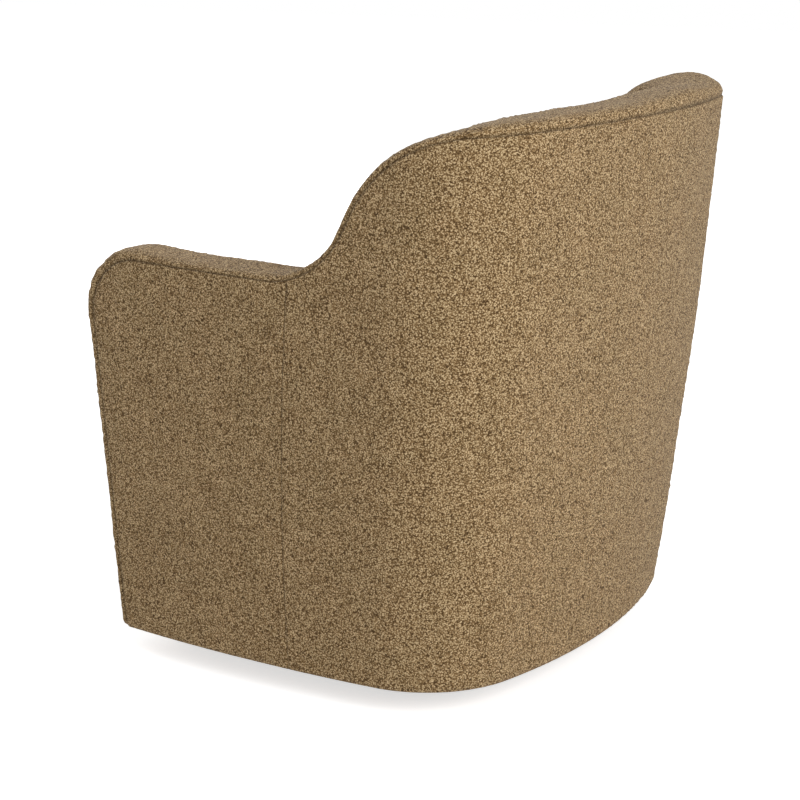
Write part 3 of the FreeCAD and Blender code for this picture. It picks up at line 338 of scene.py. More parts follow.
def ripple(points, seed, size, amount):
    """Gentle unevenness of padded cloth, from a few seeded waves."""
    rng = np.random.default_rng(seed)
    total = np.zeros(len(points))
    for _ in range(7):
        wave = rng.normal(size=3)
        wave *= 2 * math.pi / size / np.linalg.norm(wave) * rng.uniform(0.6, 1.4)
        total += np.sin(points @ wave + rng.uniform(0, 2 * math.pi))
    return total * amount / 7


def nubs(points, seed):
    """Random height of the cloth's loops at each point."""
    return np.random.default_rng(seed).normal(size=len(points)) * NUB_HEIGHT


def mirrored(points):
    return points * np.array([-1.0, 1.0, 1.0])


# Finishes
def material(name, roughness, specular=0.5, metallic=0.0):
    """New node material; returns it with its tree, its shader and its object coordinates."""
    made = bpy.data.materials.new(name)
    made.use_nodes = True
    tree = made.node_tree
    shader = tree.nodes["Principled BSDF"]
    shader.inputs["Roughness"].default_value = roughness
    shader.inputs["Specular IOR Level"].default_value = specular
    shader.inputs["Metallic"].default_value = metallic
    coordinates = tree.nodes.new("ShaderNodeTexCoord").outputs["Object"]
    return made, tree, shader, coordinates


def mapped(tree, coordinates, scale):
    """Coordinates stretched by a scale for each axis."""
    mapping = tree.nodes.new("ShaderNodeMapping")
    mapping.inputs["Scale"].default_value = scale
    tree.links.new(coordinates, mapping.inputs["Vector"])
    return mapping.outputs["Vector"]


def noise(tree, vector, scale, detail=2.0, roughness=0.5):
    texture = tree.nodes.new("ShaderNodeTexNoise")
    texture.inputs["Scale"].default_value = scale
    texture.inputs["Detail"].default_value = detail
    texture.inputs["Roughness"].default_value = roughness
    tree.links.new(vector, texture.inputs["Vector"])
    return texture.outputs["Fac"]


def cells(tree, vector, scale, output="Distance"):
    texture = tree.nodes.new("ShaderNodeTexVoronoi")
    texture.inputs["Scale"].default_value = scale
    tree.links.new(vector, texture.inputs["Vector"])
    return texture.outputs[output]


def ramp(tree, value, stops):
    """Colour ramp through (place, colour) stops."""
    node = tree.nodes.new("ShaderNodeValToRGB")
    while len(node.color_ramp.elements) < len(stops):
        node.color_ramp.elements.new(0.5)
    for element, (place, colour) in zip(node.color_ramp.elements, stops):
        element.position = place
        element.color = (*colour, 1.0)
    tree.links.new(value, node.inputs["Fac"])
    return node.outputs["Color"]


def math_node(tree, operation, first, second):
    node = tree.nodes.new("ShaderNodeMath")
    node.operation = operation
    for socket, value in zip(node.inputs, (first, second)):
        if isinstance(value, (int, float)):
            socket.default_value = value
        else:
            tree.links.new(value, socket)
    return node.outputs["Value"]


def bump(tree, shader, height, distance):
    node = tree.nodes.new("ShaderNodeBump")
    node.inputs["Distance"].default_value = distance
    tree.links.new(height, node.inputs["Height"])
    tree.links.new(node.outputs["Normal"], shader.inputs["Normal"])


def mix(tree, amount, first, second, blend="MIX"):
    """Mixes two colours, each a socket or a plain colour, by an amount that is a socket or a number."""
    node = tree.nodes.new("ShaderNodeMix")
    node.data_type = "RGBA"
    node.blend_type = blend
    for socket_name, value in (("Factor", amount), ("A", first), ("B", second)):
        socket = node.inputs[socket_name]
        if isinstance(value, (int, float)):
            socket.default_value = value
        elif isinstance(value, tuple):
            socket.default_value = (*value, 1.0)
        else:
            tree.links.new(value, socket)
    return node.outputs["Result"]


def boucle():
    """Looped upholstery cloth: close bright nubs with painted shade in the thin gaps between them, fine
    fibre, painted shade along the seams and a soft sheen.
    """
    made, tree, shader, at = material("boucle", 0.95, 0.12)
    gaps = cells(tree, at, NUB_PITCH)
    tone = tree.nodes.new("ShaderNodeSeparateColor")
    tree.links.new(cells(tree, at, NUB_PITCH, "Color"), tone.inputs["Color"])
    loop = tree.nodes.new("ShaderNodeSeparateColor")
    tree.links.new(cells(tree, at, LOOP_SCALE, "Color"), loop.inputs["Color"])
    fibre = noise(tree, at, FIBRE_SCALE, 2.0, 0.6)
    blotch = noise(tree, at, PATCH_SCALE, 3.0, 0.6)
    light = math_node(tree, "MULTIPLY", tone.outputs["Red"], TONE_SHARE)
    light = math_node(tree, "ADD", light, math_node(tree, "MULTIPLY", loop.outputs["Red"], LOOP_SHARE))
    light = math_node(tree, "ADD", light, math_node(tree, "MULTIPLY", fibre, FIBRE_SHARE))
    light = math_node(tree, "ADD", light, TONE_START)
    # Painted shade in the low gaps between the loops, the same gaps that the bump sinks
    light = math_node(tree, "SUBTRACT", light, math_node(tree, "MULTIPLY", gaps, PAINTED_GAP_SHADE))
    colour = ramp(tree, light, BOUCLE_TONES)
    shade = ramp(tree, blotch, [(0.30, (0.94, 0.95, 0.94)), (0.70, (1.0, 0.99, 0.98))])
    colour = mix(tree, 1.0, colour, shade, "MULTIPLY")
    # Painted shade along the seams, darkening the colour by each piece's seam_shade attribute
    seam = tree.nodes.new("ShaderNodeAttribute")
    seam.attribute_name = SEAM_SHADE
    line = math_node(tree, "MULTIPLY", seam.outputs["Fac"], SEAM_SHADE_STRENGTH)
    colour = mix(tree, line, colour, SEAM_SHADE_COLOUR)
    tree.links.new(colour, shader.inputs["Base Color"])
    shader.inputs["Sheen Weight"].default_value = 0.10
    shader.inputs["Sheen Roughness"].default_value = 0.5
    height = math_node(tree, "SUBTRACT", math_node(tree, "MULTIPLY", loop.outputs["Red"], 0.35), gaps)
    bump(tree, shader, height, 0.0005)
    return made


def woven(name, colour, dark, scale):
    """Plain woven cloth: threads crossing at a small even spacing."""
    made, tree, shader, at = material(name, 0.9, 0.2)
    threads = []
    for direction in ("X", "Y"):
        wave = tree.nodes.new("ShaderNodeTexWave")
        wave.bands_direction = direction
        wave.inputs["Scale"].default_value = scale
        wave.inputs["Distortion"].default_value = 0.6
        wave.inputs["Detail"].default_value = 1.0
        tree.links.new(at, wave.inputs["Vector"])
        threads.append(wave.outputs["Fac"])
    weave = math_node(tree, "MULTIPLY", *threads)
    uneven = noise(tree, at, 60.0, 3.0)
    woven_part = math_node(tree, "MULTIPLY", weave, 0.6)
    light = math_node(tree, "ADD", woven_part, math_node(tree, "MULTIPLY", uneven, 0.4))
    tree.links.new(ramp(tree, light, [(0.15, dark), (0.6, colour)]), shader.inputs["Base Color"])
    bump(tree, shader, weave, 0.0003)
    return made


def hardwood():
    """Sawn beech: long grain lines, pores and a few darker streaks."""
    made, tree, shader, at = material("hardwood", 0.6, 0.3)
    along = mapped(tree, at, (14.0, 14.0, 2.0))
    grain = noise(tree, along, 6.0, 6.0, 0.65)
    pores = noise(tree, mapped(tree, at, (700.0, 700.0, 60.0)), 1.0, 2.0)
    browns = [(0.30, (0.36, 0.21, 0.11)), (0.5, (0.52, 0.35, 0.20)), (0.72, (0.62, 0.45, 0.28))]
    colour = ramp(tree, grain, browns)
    speck = ramp(tree, pores, [(0.35, (0.72, 0.68, 0.64)), (0.45, (1.0, 1.0, 1.0))])
    tree.links.new(mix(tree, 1.0, colour, speck, "MULTIPLY"), shader.inputs["Base Color"])
    bump(tree, shader, math_node(tree, "ADD", grain, pores), 0.0004)
    return made


def powder_coat():
    """Black powder coat on steel: fine orange peel, a little dust and worn, brighter edges."""
    made, tree, shader, at = material("black_steel", 0.42, 0.5)
    peel = noise(tree, at, 1400.0, 2.0)
    dust = noise(tree, at, 22.0, 4.0, 0.6)
    edge = tree.nodes.new("ShaderNodeNewGeometry").outputs["Pointiness"]
    wear = ramp(tree, edge, [(0.52, (0.0, 0.0, 0.0)), (0.60, (1.0, 1.0, 1.0))])
    base = ramp(tree, dust, [(0.35, (0.012, 0.012, 0.013)), (0.75, (0.030, 0.029, 0.028))])
    tree.links.new(mix(tree, math_node(tree, "MULTIPLY", wear, 0.5), base, (0.16, 0.15, 0.14)),
                   shader.inputs["Base Color"])
    rough = math_node(tree, "ADD", math_node(tree, "MULTIPLY", dust, 0.25), 0.32)
    tree.links.new(rough, shader.inputs["Roughness"])
    bump(tree, shader, peel, 0.00012)
    return made


def zinc():
    """Bright zinc plating with fine turning marks and a slightly mottled lustre."""
    made, tree, shader, at = material("bright_steel", 0.28, 0.5, 1.0)
    marks = noise(tree, mapped(tree, at, (60.0, 60.0, 2600.0)), 1.0, 2.0)
    mottle = noise(tree, at, 90.0, 3.0)
    tree.links.new(ramp(tree, mottle, [(0.3, (0.56, 0.57, 0.58)), (0.7, (0.74, 0.74, 0.73))]),
                   shader.inputs["Base Color"])
    rough = math_node(tree, "ADD", math_node(tree, "MULTIPLY", marks, 0.2), 0.18)
    tree.links.new(rough, shader.inputs["Roughness"])
    bump(tree, shader, marks, 0.00006)
    return made


def moulded(name, colour, roughness, scale):
    """Moulded nylon or rubber: fine grain and a cloudy tone."""
    made, tree, shader, at = material(name, roughness, 0.35)
    cloud = noise(tree, at, 40.0, 3.0)
    darker = tuple(part * 0.7 for part in colour)
    tree.links.new(ramp(tree, cloud, [(0.3, darker), (0.7, colour)]), shader.inputs["Base Color"])
    bump(tree, shader, noise(tree, at, scale, 2.0), 0.00015)
    return made


FABRIC = boucle()
DECK_CLOTH = woven("deck_cloth", (0.20, 0.165, 0.125), (0.10, 0.08, 0.06), 420.0)
DUST_CLOTH = woven("dust_cloth", (0.028, 0.028, 0.030), (0.010, 0.010, 0.011), 520.0)
WEB_CLOTH = woven("webbing", (0.46, 0.38, 0.26), (0.20, 0.15, 0.09), 330.0)
WOOD = hardwood()
BLACK_STEEL = powder_coat()
BRIGHT_STEEL = zinc()
NYLON = moulded("nylon", (0.055, 0.055, 0.058), 0.45, 900.0)
RUBBER = moulded("rubber_black", (0.022, 0.021, 0.021), 0.8, 1200.0)

BY_SLOT = {
    "upholstery": FABRIC, "deck_cloth": DECK_CLOTH, "dust_cloth": DUST_CLOTH, "webbing": WEB_CLOTH,
    "hardwood": WOOD, "black_steel": BLACK_STEEL, "bright_steel": BRIGHT_STEEL, "nylon": NYLON,
    "rubber_black": RUBBER,
}


def dress_nodes():
    """Gives every carried-over solid the finish of its material slot."""
    for entry in frame["record"]["subparts"]:
        solid = frame["nodes"][entry["node"]]
        finish = BY_SLOT[entry["material_slot"]]
        for material_slot in solid.material_slots:
            material_slot.material = finish
        if not solid.material_slots:
            solid.data.materials.append(finish)


dress_nodes()


# Outer panels
def side_wall(flat, inner=False):
    """Points of the side wall and its outward directions for (y, z) places."""
    spots, ways = [], []
    for y, z in flat:
        shape = plan(z, inner)
        centre, radius = shape["side"]
        x = side_x(shape, y)
        spots.append((x, y, z))
        ways.append(((x - centre[0]) / radius, (y - centre[1]) / radius, 0.0))
    return np.array(spots), np.array(ways)


def patch(border, centre, gaps):
    """Rings of points, at gaps from a closed border, in to its centre, with their faces."""
    reach = np.linalg.norm(border - centre, axis=1).mean()
    fractions = 1 - np.array([gap for gap in gaps if gap < reach - MESH_STEP / 2]) / reach
    points = np.concatenate([centre + (border - centre) * f for f in fractions] + [centre[None]])
    count = len(border)
    faces = grid_faces(len(fractions), count, closed=True)
    last = (len(fractions) - 1) * count
    hub = len(points) - 1
    faces += [(last + c, last + (c + 1) % count, hub) for c in range(count)]
    return points, faces


def hub_fade(flat, hub):
    """Share of the loops' height that points keep towards the middle of a patch, where they crowd."""
    return np.clip(np.linalg.norm(flat - hub, axis=1) / HUB_REACH, 0, 1)


def cloth_lift(points, inside, wave, nub_seed, keep=1.0):
    """Unevenness and loops that fade out at a piece's seams; wave is a seed, a size and an amount."""
    uneven = ripple(points, *wave) * np.clip(inside / WAVE_FADE, 0, 1)
    return uneven + nubs(points, nub_seed) * np.clip(inside / NUB_FADE, 0, 1) * keep


def side_distance(flat, line):
    """Distance of (y, z) places from a line of (y, z) points."""
    return distance_to([(y, z, 0) for y, z in flat], [(y, z, 0) for y, z in even(line, SEAM_STEP)])


def arm_border(bottom, end_y):
    """Closed (y, z) border of an arm's side, from the front seam over the top to its rear edge."""
    ends = PROFILE[:, 0] < end_y(ARM_SEAM_REAR)
    rim = PROFILE[(PROFILE[:, 1] >= bottom) & ends & (np.arange(len(PROFILE)) < ARM_TOP_START * 4)]
    levels = np.linspace(seam_z(end_y(ARM_SEAM_REAR)), bottom, 100)
    rear = np.array([(end_y(z), z) for z in levels])
    floor = np.array([(end_y(bottom), bottom), (rim[0, 0], bottom)])
    loop = even(np.concatenate([rim, rear, floor, rim[:1]]), MESH_STEP)[:-1]
    return loop, rim, rear


def arm_panel(side, sign):
    """Outer arm panel: rolled at its seams and round the hem."""
    loop, rim, rear = arm_border(SKIRT, panel_seam_y)
    hub = np.array(ARM_HUB)
    flat, faces = patch(loop, hub, places(0.35, SEAM_ROLL, 0))
    points, ways = side_wall(flat)
    to_rim, to_rear = (side_distance(flat, seam) for seam in (rim, rear))
    to_hem = flat[:, 1] - SKIRT
    tuck = roll_depth(to_hem, HEM_ROLL, HEM_ROLL)
    seam = np.maximum(roll_depth(to_rim, SEAM_ROLL, SEAM_DEPTH),
                      roll_depth(to_rear, SEAM_ROLL, SEAM_DEPTH / 2))
    inside = np.minimum(np.minimum(to_rim, to_rear), to_hem)
    lift = cloth_lift(points, inside, (11, 0.22, 0.0011), 5 + sign, hub_fade(flat, hub))
    outer = points + ways * (lift - np.maximum(seam, tuck))[:, None]
    inner = points - ways * (SEAM_DEPTH + CLOTH_THICKNESS + tuck)[:, None]
    verts, faces = thick(outer, inner, faces, list(range(len(loop))))
    if sign < 0:
        verts = mirrored(verts)
    piece = make_piece(f"outside_arm_{side}_cover", "chair", FABRIC, "upholstery", verts, faces)
    shade_seams(piece, to_rim, to_rear)
    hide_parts(f"outside_arm_{side}")


def wall_table(fractions, start_y, inner):
    """Tables of wall points and outward directions by level, to read at any height."""
    levels = np.linspace(HEM, TOP_LEVEL, 70)
    spots, ways = [], []
    for z in levels:
        spot, way = outline(plan(z, inner), float(start_y(z)), fractions)
        spots.append(spot)
        ways.append(way)
    return levels, np.array(spots), np.array(ways)


def read_table(table, column, z):
    """Wall points and outward directions of one column at heights z."""
    levels, spots, ways = table
    return [np.array([np.interp(z, levels, part[:, column, k]) for k in (0, 1)]).T
            for part in (spots, ways)]


def seam_spot(table, column):
    """Plan place and height where a column of the wall meets the rim seam, closed in on step by step."""
    top = 0.7
    for _ in range(12):
        spot, _ = read_table(table, column, np.array([top]))
        top = 0.5 * top + 0.5 * float(seam_z(spot[0, 1]))
    return spot[0, 0], spot[0, 1], top


def back_sheet(start_y, bottom, inner, column_step, rows_in):
    """Half of a sheet round the back: columns of points up to the rim seam, with outward directions."""
    length = 0.78 if not inner else 0.62
    fractions = places(length, SEAM_ROLL, 0, column_step) / length
    fractions[-1] = 1.0
    table = wall_table(fractions, start_y, inner)
    points, ways = [], []
    for column in range(len(fractions)):
        top = seam_spot(table, column)[2]
        z = bottom + (top - bottom) * rows_in
        spot, way = read_table(table, column, z)
        way /= np.linalg.norm(way, axis=1, keepdims=True)
        points.append(np.column_stack([spot, z]))
        ways.append(np.column_stack([way, np.zeros(len(z))]))
    return np.array(points), np.array(ways)


def both_halves(half):
    """Columns of the left half and of its mirror image, joined in the middle of the back."""
    return np.concatenate([half, mirrored(half[::-1][1:])])


def back_panel():
    """Outer back and wings in one panel."""
    rows_in = places(0.75, HEM_ROLL, SEAM_ROLL) / 0.75
    halves = back_sheet(panel_seam_y, SKIRT, False, MESH_STEP, rows_in)
    points, ways = (both_halves(part) for part in halves)
    columns, rows, _ = points.shape
    flat, ways = points.reshape(-1, 3), ways.reshape(-1, 3)
    to_rim = distance_to(flat, even(points[:, -1], SEAM_STEP))
    to_side = distance_to(flat, np.concatenate([even(line, SEAM_STEP) for line in (points[0], points[-1])]))
    to_hem = flat[:, 2] - SKIRT
    tuck = roll_depth(to_hem, HEM_ROLL, HEM_ROLL)
    seam = np.maximum(roll_depth(to_rim, SEAM_ROLL, SEAM_DEPTH),
                      roll_depth(to_side, SEAM_ROLL, SEAM_DEPTH / 2))
    inside = np.minimum(np.minimum(to_rim, to_side), to_hem)
    lift = cloth_lift(flat, inside, (21, 0.28, 0.0016), 8)
    outer = flat + ways * (lift - np.maximum(seam, tuck))[:, None]
    inner = flat - ways * (SEAM_DEPTH + CLOTH_THICKNESS + tuck)[:, None]
    verts, faces = thick(outer, inner, grid_faces(columns, rows), grid_border(columns, rows))
    piece = make_piece("outside_back_cover", "chair", FABRIC, "upholstery", verts, faces)
    shade_seams(piece, to_rim, to_side)
    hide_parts("outside_back")


# Boxing band along the rim
def rim_stations(step):
    """Outer and inner seam points along half of the rim, from the hem up, and how many run along the arm."""
    rising = PROFILE[(PROFILE[:, 0] <= BAND_WRAP_Y) & (np.arange(len(PROFILE)) < ARM_TOP_START * 4)]
    rising = np.concatenate([[(-FRONT_REACH, SKIRT)], rising])
    run = np.concatenate([[0], np.cumsum(np.hypot(*np.diff(rising, axis=0).T))])
    spots = HEM_LIFT + places(run[-1] - HEM_LIFT, BAND_HEM, 0, step)
    rising = np.stack([np.interp(spots, run, rising[:, k]) for k in (0, 1)], 1)
    outer = np.array([(side_x(plan(z), y), y, z) for y, z in rising])
    inner = np.array([(side_x(plan(z, True), y), y, z) for y, z in rising])
    fractions = np.linspace(0, 1, int(0.74 / step))[1:]
    sides = []
    for is_inner in (False, True):
        table = wall_table(fractions, lambda z: BAND_WRAP_Y, is_inner)
        sides.append(np.array([seam_spot(table, column) for column in range(len(fractions))]))
    return np.concatenate([outer, sides[0]]), np.concatenate([inner, sides[1]]), len(rising)


def profile_normal(y, z, front):
    """Way out of the rim surface at a place, in (y, z)."""
    pool = PROFILE[:ARM_TOP_START + 3] if front else PROFILE[ARM_TOP_START - 3:]
    offset = 0 if front else ARM_TOP_START - 3
    near = int(np.argmin((pool[:, 0] - y) ** 2 + (pool[:, 1] - z) ** 2)) + offset
    a, b = PROFILE[max(near - 2, 0)], PROFILE[min(near + 2, len(PROFILE) - 1)]
    along = (b - a) / np.hypot(*(b - a))
    return np.array([-along[1], along[0]])


def crown_height(y, z):
    """Height of the band's crown over its seams at a place, fuller at the arm's front corner."""
    away = (y - ARM_PUFF_SPOT[0]) ** 2 + (z - ARM_PUFF_SPOT[1]) ** 2
    full = ARM_PUFF * math.exp(-away / ARM_PUFF_REACH ** 2)
    return np.sqrt(((CROWN_PROFILE - (y, z)) ** 2).sum(axis=1).min()) + full


def rim_band():
    """Rows of points across half of the band, crowned between its two seams and tucked in at them."""
    outer, inner, rising = rim_stations(MESH_STEP)
    angles = np.linspace(0, math.pi, BAND_COLUMNS)
    across = (1 - np.sign(np.cos(angles)) * np.abs(np.cos(angles)) ** (2 / BAND_SQUARENESS)) / 2
    height = np.sin(angles) ** (2 / BAND_SQUARENESS)
    tuck = BAND_TUCK * (1 - height) ** 2 * np.sign(np.cos(angles))
    sections = []
    for k, (o, i) in enumerate(zip(outer, inner)):
        inwards = (i - o) / np.linalg.norm(i - o)
        hem = roll_depth(o[2] - SKIRT, BAND_HEM, BAND_HEM) if k < rising else 0.0
        section = []
        for share, lift, drawn in zip(across, height, tuck):
            base = o + (i - o) * share + inwards * drawn
            if k >= rising:
                base[2] = seam_z(base[1])
            front = k < rising and base[2] < ARM_SEAM_REAR - ARM_ROUND * 0.3
            up = profile_normal(base[1], base[2], front)
            rise = crown_height(base[1], base[2]) * lift - hem
            section.append(base + np.array([0.0, *up]) * rise + inwards * hem * (1 - 2 * share))
        first, last = np.array(section[0]), np.array(section[-1])
        front = k < rising and first[2] < ARM_SEAM_REAR - 0.03
        up = np.array([0.0, *profile_normal(first[1], first[2], front)])
        down = -up * BAND_SKIRT
        sections.append([first + down, *section, last + down])
    return np.array(sections)


def stuffing(points):
    """Extra height of the rim where its stuffing has gathered or settled."""
    total = np.zeros(len(points))
    for x, y, reach, rise in PUFFS:
        total += rise * np.exp(-((points[:, 0] - x) ** 2 + (points[:, 1] - y) ** 2) / reach ** 2)
    return total


def band_piece():
    """Boxing band from one arm's front hem over the rim to the other's, in one piece."""
    whole = both_halves(rim_band())
    rows, columns, _ = whole.shape
    along, across = np.gradient(whole, axis=0), np.gradient(whole, axis=1)
    normal = np.cross(across, along).reshape(-1, 3)
    normal /= np.maximum(np.linalg.norm(normal, axis=1, keepdims=True), 1e-9)
    flat = whole.reshape(-1, 3)
    column = np.tile(np.arange(columns), rows)
    free = np.clip((np.minimum(column, columns - 1 - column) - 1) / 4, 0, 1)
    lift = nubs(flat, 31) * (free > 0) + ripple(flat, 32, 0.12, 0.0012) * free
    flat = flat + normal * lift[:, None]
    flat[:, 2] += stuffing(flat) * free
    seams = np.concatenate([even(line, SEAM_STEP) for line in (whole[:, 1], whole[:, -2])])
    faces = grid_faces(rows, columns, closed=True)
    faces += [tuple(range(columns)), tuple(range((rows - 1) * columns, rows * columns))[::-1]]
    piece = make_piece("rim_band", "chair", FABRIC, "upholstery", flat, faces)
    shade_seams(piece, distance_to(flat, seams))
    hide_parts("arm_band_left", "arm_band_right", "back_band")


# Inside pads
def inside_arm(side, sign):
    """Padded inner face of an arm, full in the middle and rolled at its seams."""
    loop, _, _ = arm_border(DECK + PAD_CLEAR, lambda z: PAD_JOINT - PAD_CLEAR)
    hub = np.array(INNER_ARM_HUB)
    flat, faces = patch(loop, hub, places(0.26, 3 * SEAM_ROLL, 0))
    points, ways = side_wall(flat, inner=True)
    to_seam = side_distance(flat, np.concatenate([loop, loop[:1]]))
    depth = roll_depth(to_seam, 0.012, 0.008)
    full = PAD_FILL * np.clip(to_seam / 0.10, 0, 1) ** 0.6
    uneven = cloth_lift(points, to_seam, (43, 0.15, 0.0016), 41 + sign, hub_fade(flat, hub))
    lift = full - depth + uneven
    outer = points - ways * lift[:, None]
    inner = points + ways * PAD_DEPTH
    verts, faces = thick(outer, inner, faces, list(range(len(loop))))
    if sign < 0:
        verts = mirrored(verts)
    piece = make_piece(f"inside_arm_{side}_pad", "chair", FABRIC, "upholstery", verts, faces)
    shade_seams(piece, to_seam)
    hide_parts(f"inside_arm_{side}")


def inside_back():
    """Padded inner back, from one arm joint round to the other, with a full roll along its top."""
    rows_in = places(0.45, 3 * SEAM_ROLL, 3 * SEAM_ROLL) / 0.45
    halves = back_sheet(lambda z: PAD_JOINT, DECK + PAD_CLEAR, True, MESH_STEP, rows_in)
    points, ways = (both_halves(part) for part in halves)
    columns, rows, _ = points.shape
    top = points[:, -1]
    edges = (top, points[0], points[-1], points[:, 0])
    border = np.concatenate([even(line, SEAM_STEP) for line in edges])
    flat, ways = points.reshape(-1, 3), ways.reshape(-1, 3)
    to_seam = distance_to(flat, border)
    to_top = distance_to(flat, even(top, SEAM_STEP))
    depth = roll_depth(to_seam, 0.014, 0.009)
    behind = np.clip((flat[:, 1] - PAD_JOINT) / 0.12, 0, 1)
    full = (PAD_FILL + 0.010 * behind) * np.clip(to_seam / 0.12, 0, 1) ** 0.6
    lift = full - depth + cloth_lift(flat, to_seam, (53, 0.18, 0.0022), 51)
    roll = np.sin(math.pi * np.clip(to_top / TOP_ROLL, 0, 1))
    rise = TOP_ROLL_RISE * roll ** 0.8 * behind
    outer = flat - ways * (lift + 0.004 * roll * behind)[:, None]
    outer[:, 2] += rise + stuffing(flat) * np.clip(1 - to_top / PUFF_DEPTH, 0, 1)
    inner = flat + ways * PAD_DEPTH
    verts, faces = thick(outer, inner, grid_faces(columns, rows), grid_border(columns, rows))
    piece = make_piece("inside_back_pad", "chair", FABRIC, "upholstery", verts, faces)
    shade_seams(piece, to_seam)
    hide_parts("inside_back")


def front_panel():
    """Front panel below the seat, between the arms."""
    rows_in = places(DECK - SKIRT, HEM_ROLL, SEAM_ROLL)
    wide = places(0.56, SEAM_ROLL, SEAM_ROLL) / 0.56
    points = []
    for rise in rows_in:
        z = SKIRT + rise
        y = -FRONT_REACH - FRONT_LEAN * (z - HEM) / (TOP_LEVEL - HEM)
        half = side_x(plan(z, True), y) + FRONT_LAP
        points.append([(-half + 2 * half * share, y, z) for share in wide])
    points = np.array(points)
    rows, columns, _ = points.shape
    flat = points.reshape(-1, 3)
    edges = (points[-1], points[:, 0], points[:, -1])
    border = np.concatenate([even(line, SEAM_STEP) for line in edges])
    to_seam = distance_to(flat, border)
    to_hem = flat[:, 2] - SKIRT
    tuck = roll_depth(to_hem, HEM_ROLL, HEM_ROLL)
    depth = np.maximum(roll_depth(to_seam, SEAM_ROLL, SEAM_DEPTH), tuck)
    lift = cloth_lift(flat, np.minimum(to_seam, to_hem), (61, 0.2, 0.0014), 62)
    outer, inner = flat.copy(), flat.copy()
    outer[:, 1] -= lift - depth
    inner[:, 1] += SEAM_DEPTH + CLOTH_THICKNESS + tuck
    verts, faces = thick(outer, inner, grid_faces(rows, columns), grid_border(rows, columns))
    piece = make_piece("front_panel_cover", "chair", FABRIC, "upholstery", verts, faces)
    shade_seams(piece, to_seam)
    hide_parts("front_panel")


for side, sign in (("left", 1), ("right", -1)):
    arm_panel(side, sign)
    inside_arm(side, sign)
back_panel()
band_piece()
inside_back()
front_panel()


# Seat cushion
def three_point_arc(a, b, c, step):
    """Points along the circle from a through b to c."""
    a, b, c = (np.array(p, float) for p in (a, b, c))
    d = 2 * (a[0] * (b[1] - c[1]) + b[0] * (c[1] - a[1]) + c[0] * (a[1] - b[1]))
    sq = [p @ p for p in (a, b, c)]
    centre = np.array([
        (sq[0] * (b[1] - c[1]) + sq[1] * (c[1] - a[1]) + sq[2] * (a[1] - b[1])) / d,
        (sq[0] * (c[0] - b[0]) + sq[1] * (a[0] - c[0]) + sq[2] * (b[0] - a[0])) / d,
    ])
    first, middle, last = (math.atan2(*(p - centre)[::-1]) for p in (a, b, c))
    turn = (last - first) % (2 * math.pi)
    if (middle - first) % (2 * math.pi) > turn:
        turn -= 2 * math.pi
    radius = np.hypot(*(a - centre))
    count = max(int(abs(turn) * radius / step), 3)
    angles = first + turn * np.linspace(0, 1, count + 1)
    return centre + radius * np.stack([np.cos(angles), np.sin(angles)], 1)


def cushion_outline(gap):
    """Closed plan outline of the seat cushion, moved in by a gap."""
    shape = plan(DECK + CUSHION_HEIGHT / 2, inner=True)
    front = CUSHION_FRONT + gap
    half_front = side_x(shape, -0.30) - CUSHION_GAP - gap
    half_rear = side_x(shape, 0.02) - CUSHION_GAP - gap
    rear = shape["back"][0][1] + shape["back"][1] - CUSHION_GAP - gap - 0.004
    corner = CUSHION_CORNER
    slant = corner * (1 - math.sqrt(0.5))
    side_rear = rear - INNER_BOW - INNER_CORNER / 2
    right = np.concatenate([
        three_point_arc((half_front - corner, front), (half_front - slant, front + slant),
                        (half_front, front + corner), 0.003),
        three_point_arc((half_front, front + corner), ((half_front + half_rear) / 2 - 0.003,
                        (front + corner + side_rear) / 2), (half_rear, side_rear), 0.006),
        three_point_arc((half_rear, side_rear), (half_rear - INNER_CORNER * 0.36, rear - INNER_BOW * 0.55
                        - INNER_CORNER * 0.25), (half_rear - INNER_CORNER, rear - INNER_BOW * 0.5), 0.004),
    ])
    rear_arc = three_point_arc(right[-1], (0, rear), right[-1] * (-1, 1), 0.006)
    front_arc = three_point_arc(right[0] * (-1, 1), (0, front - 0.004), right[0], 0.006)
    left = right[::-1] * (-1, 1)
    loop = np.concatenate([front_arc, right, rear_arc, left])
    return even(np.concatenate([loop, loop[:1]]), CUSHION_STEP)[:-1]


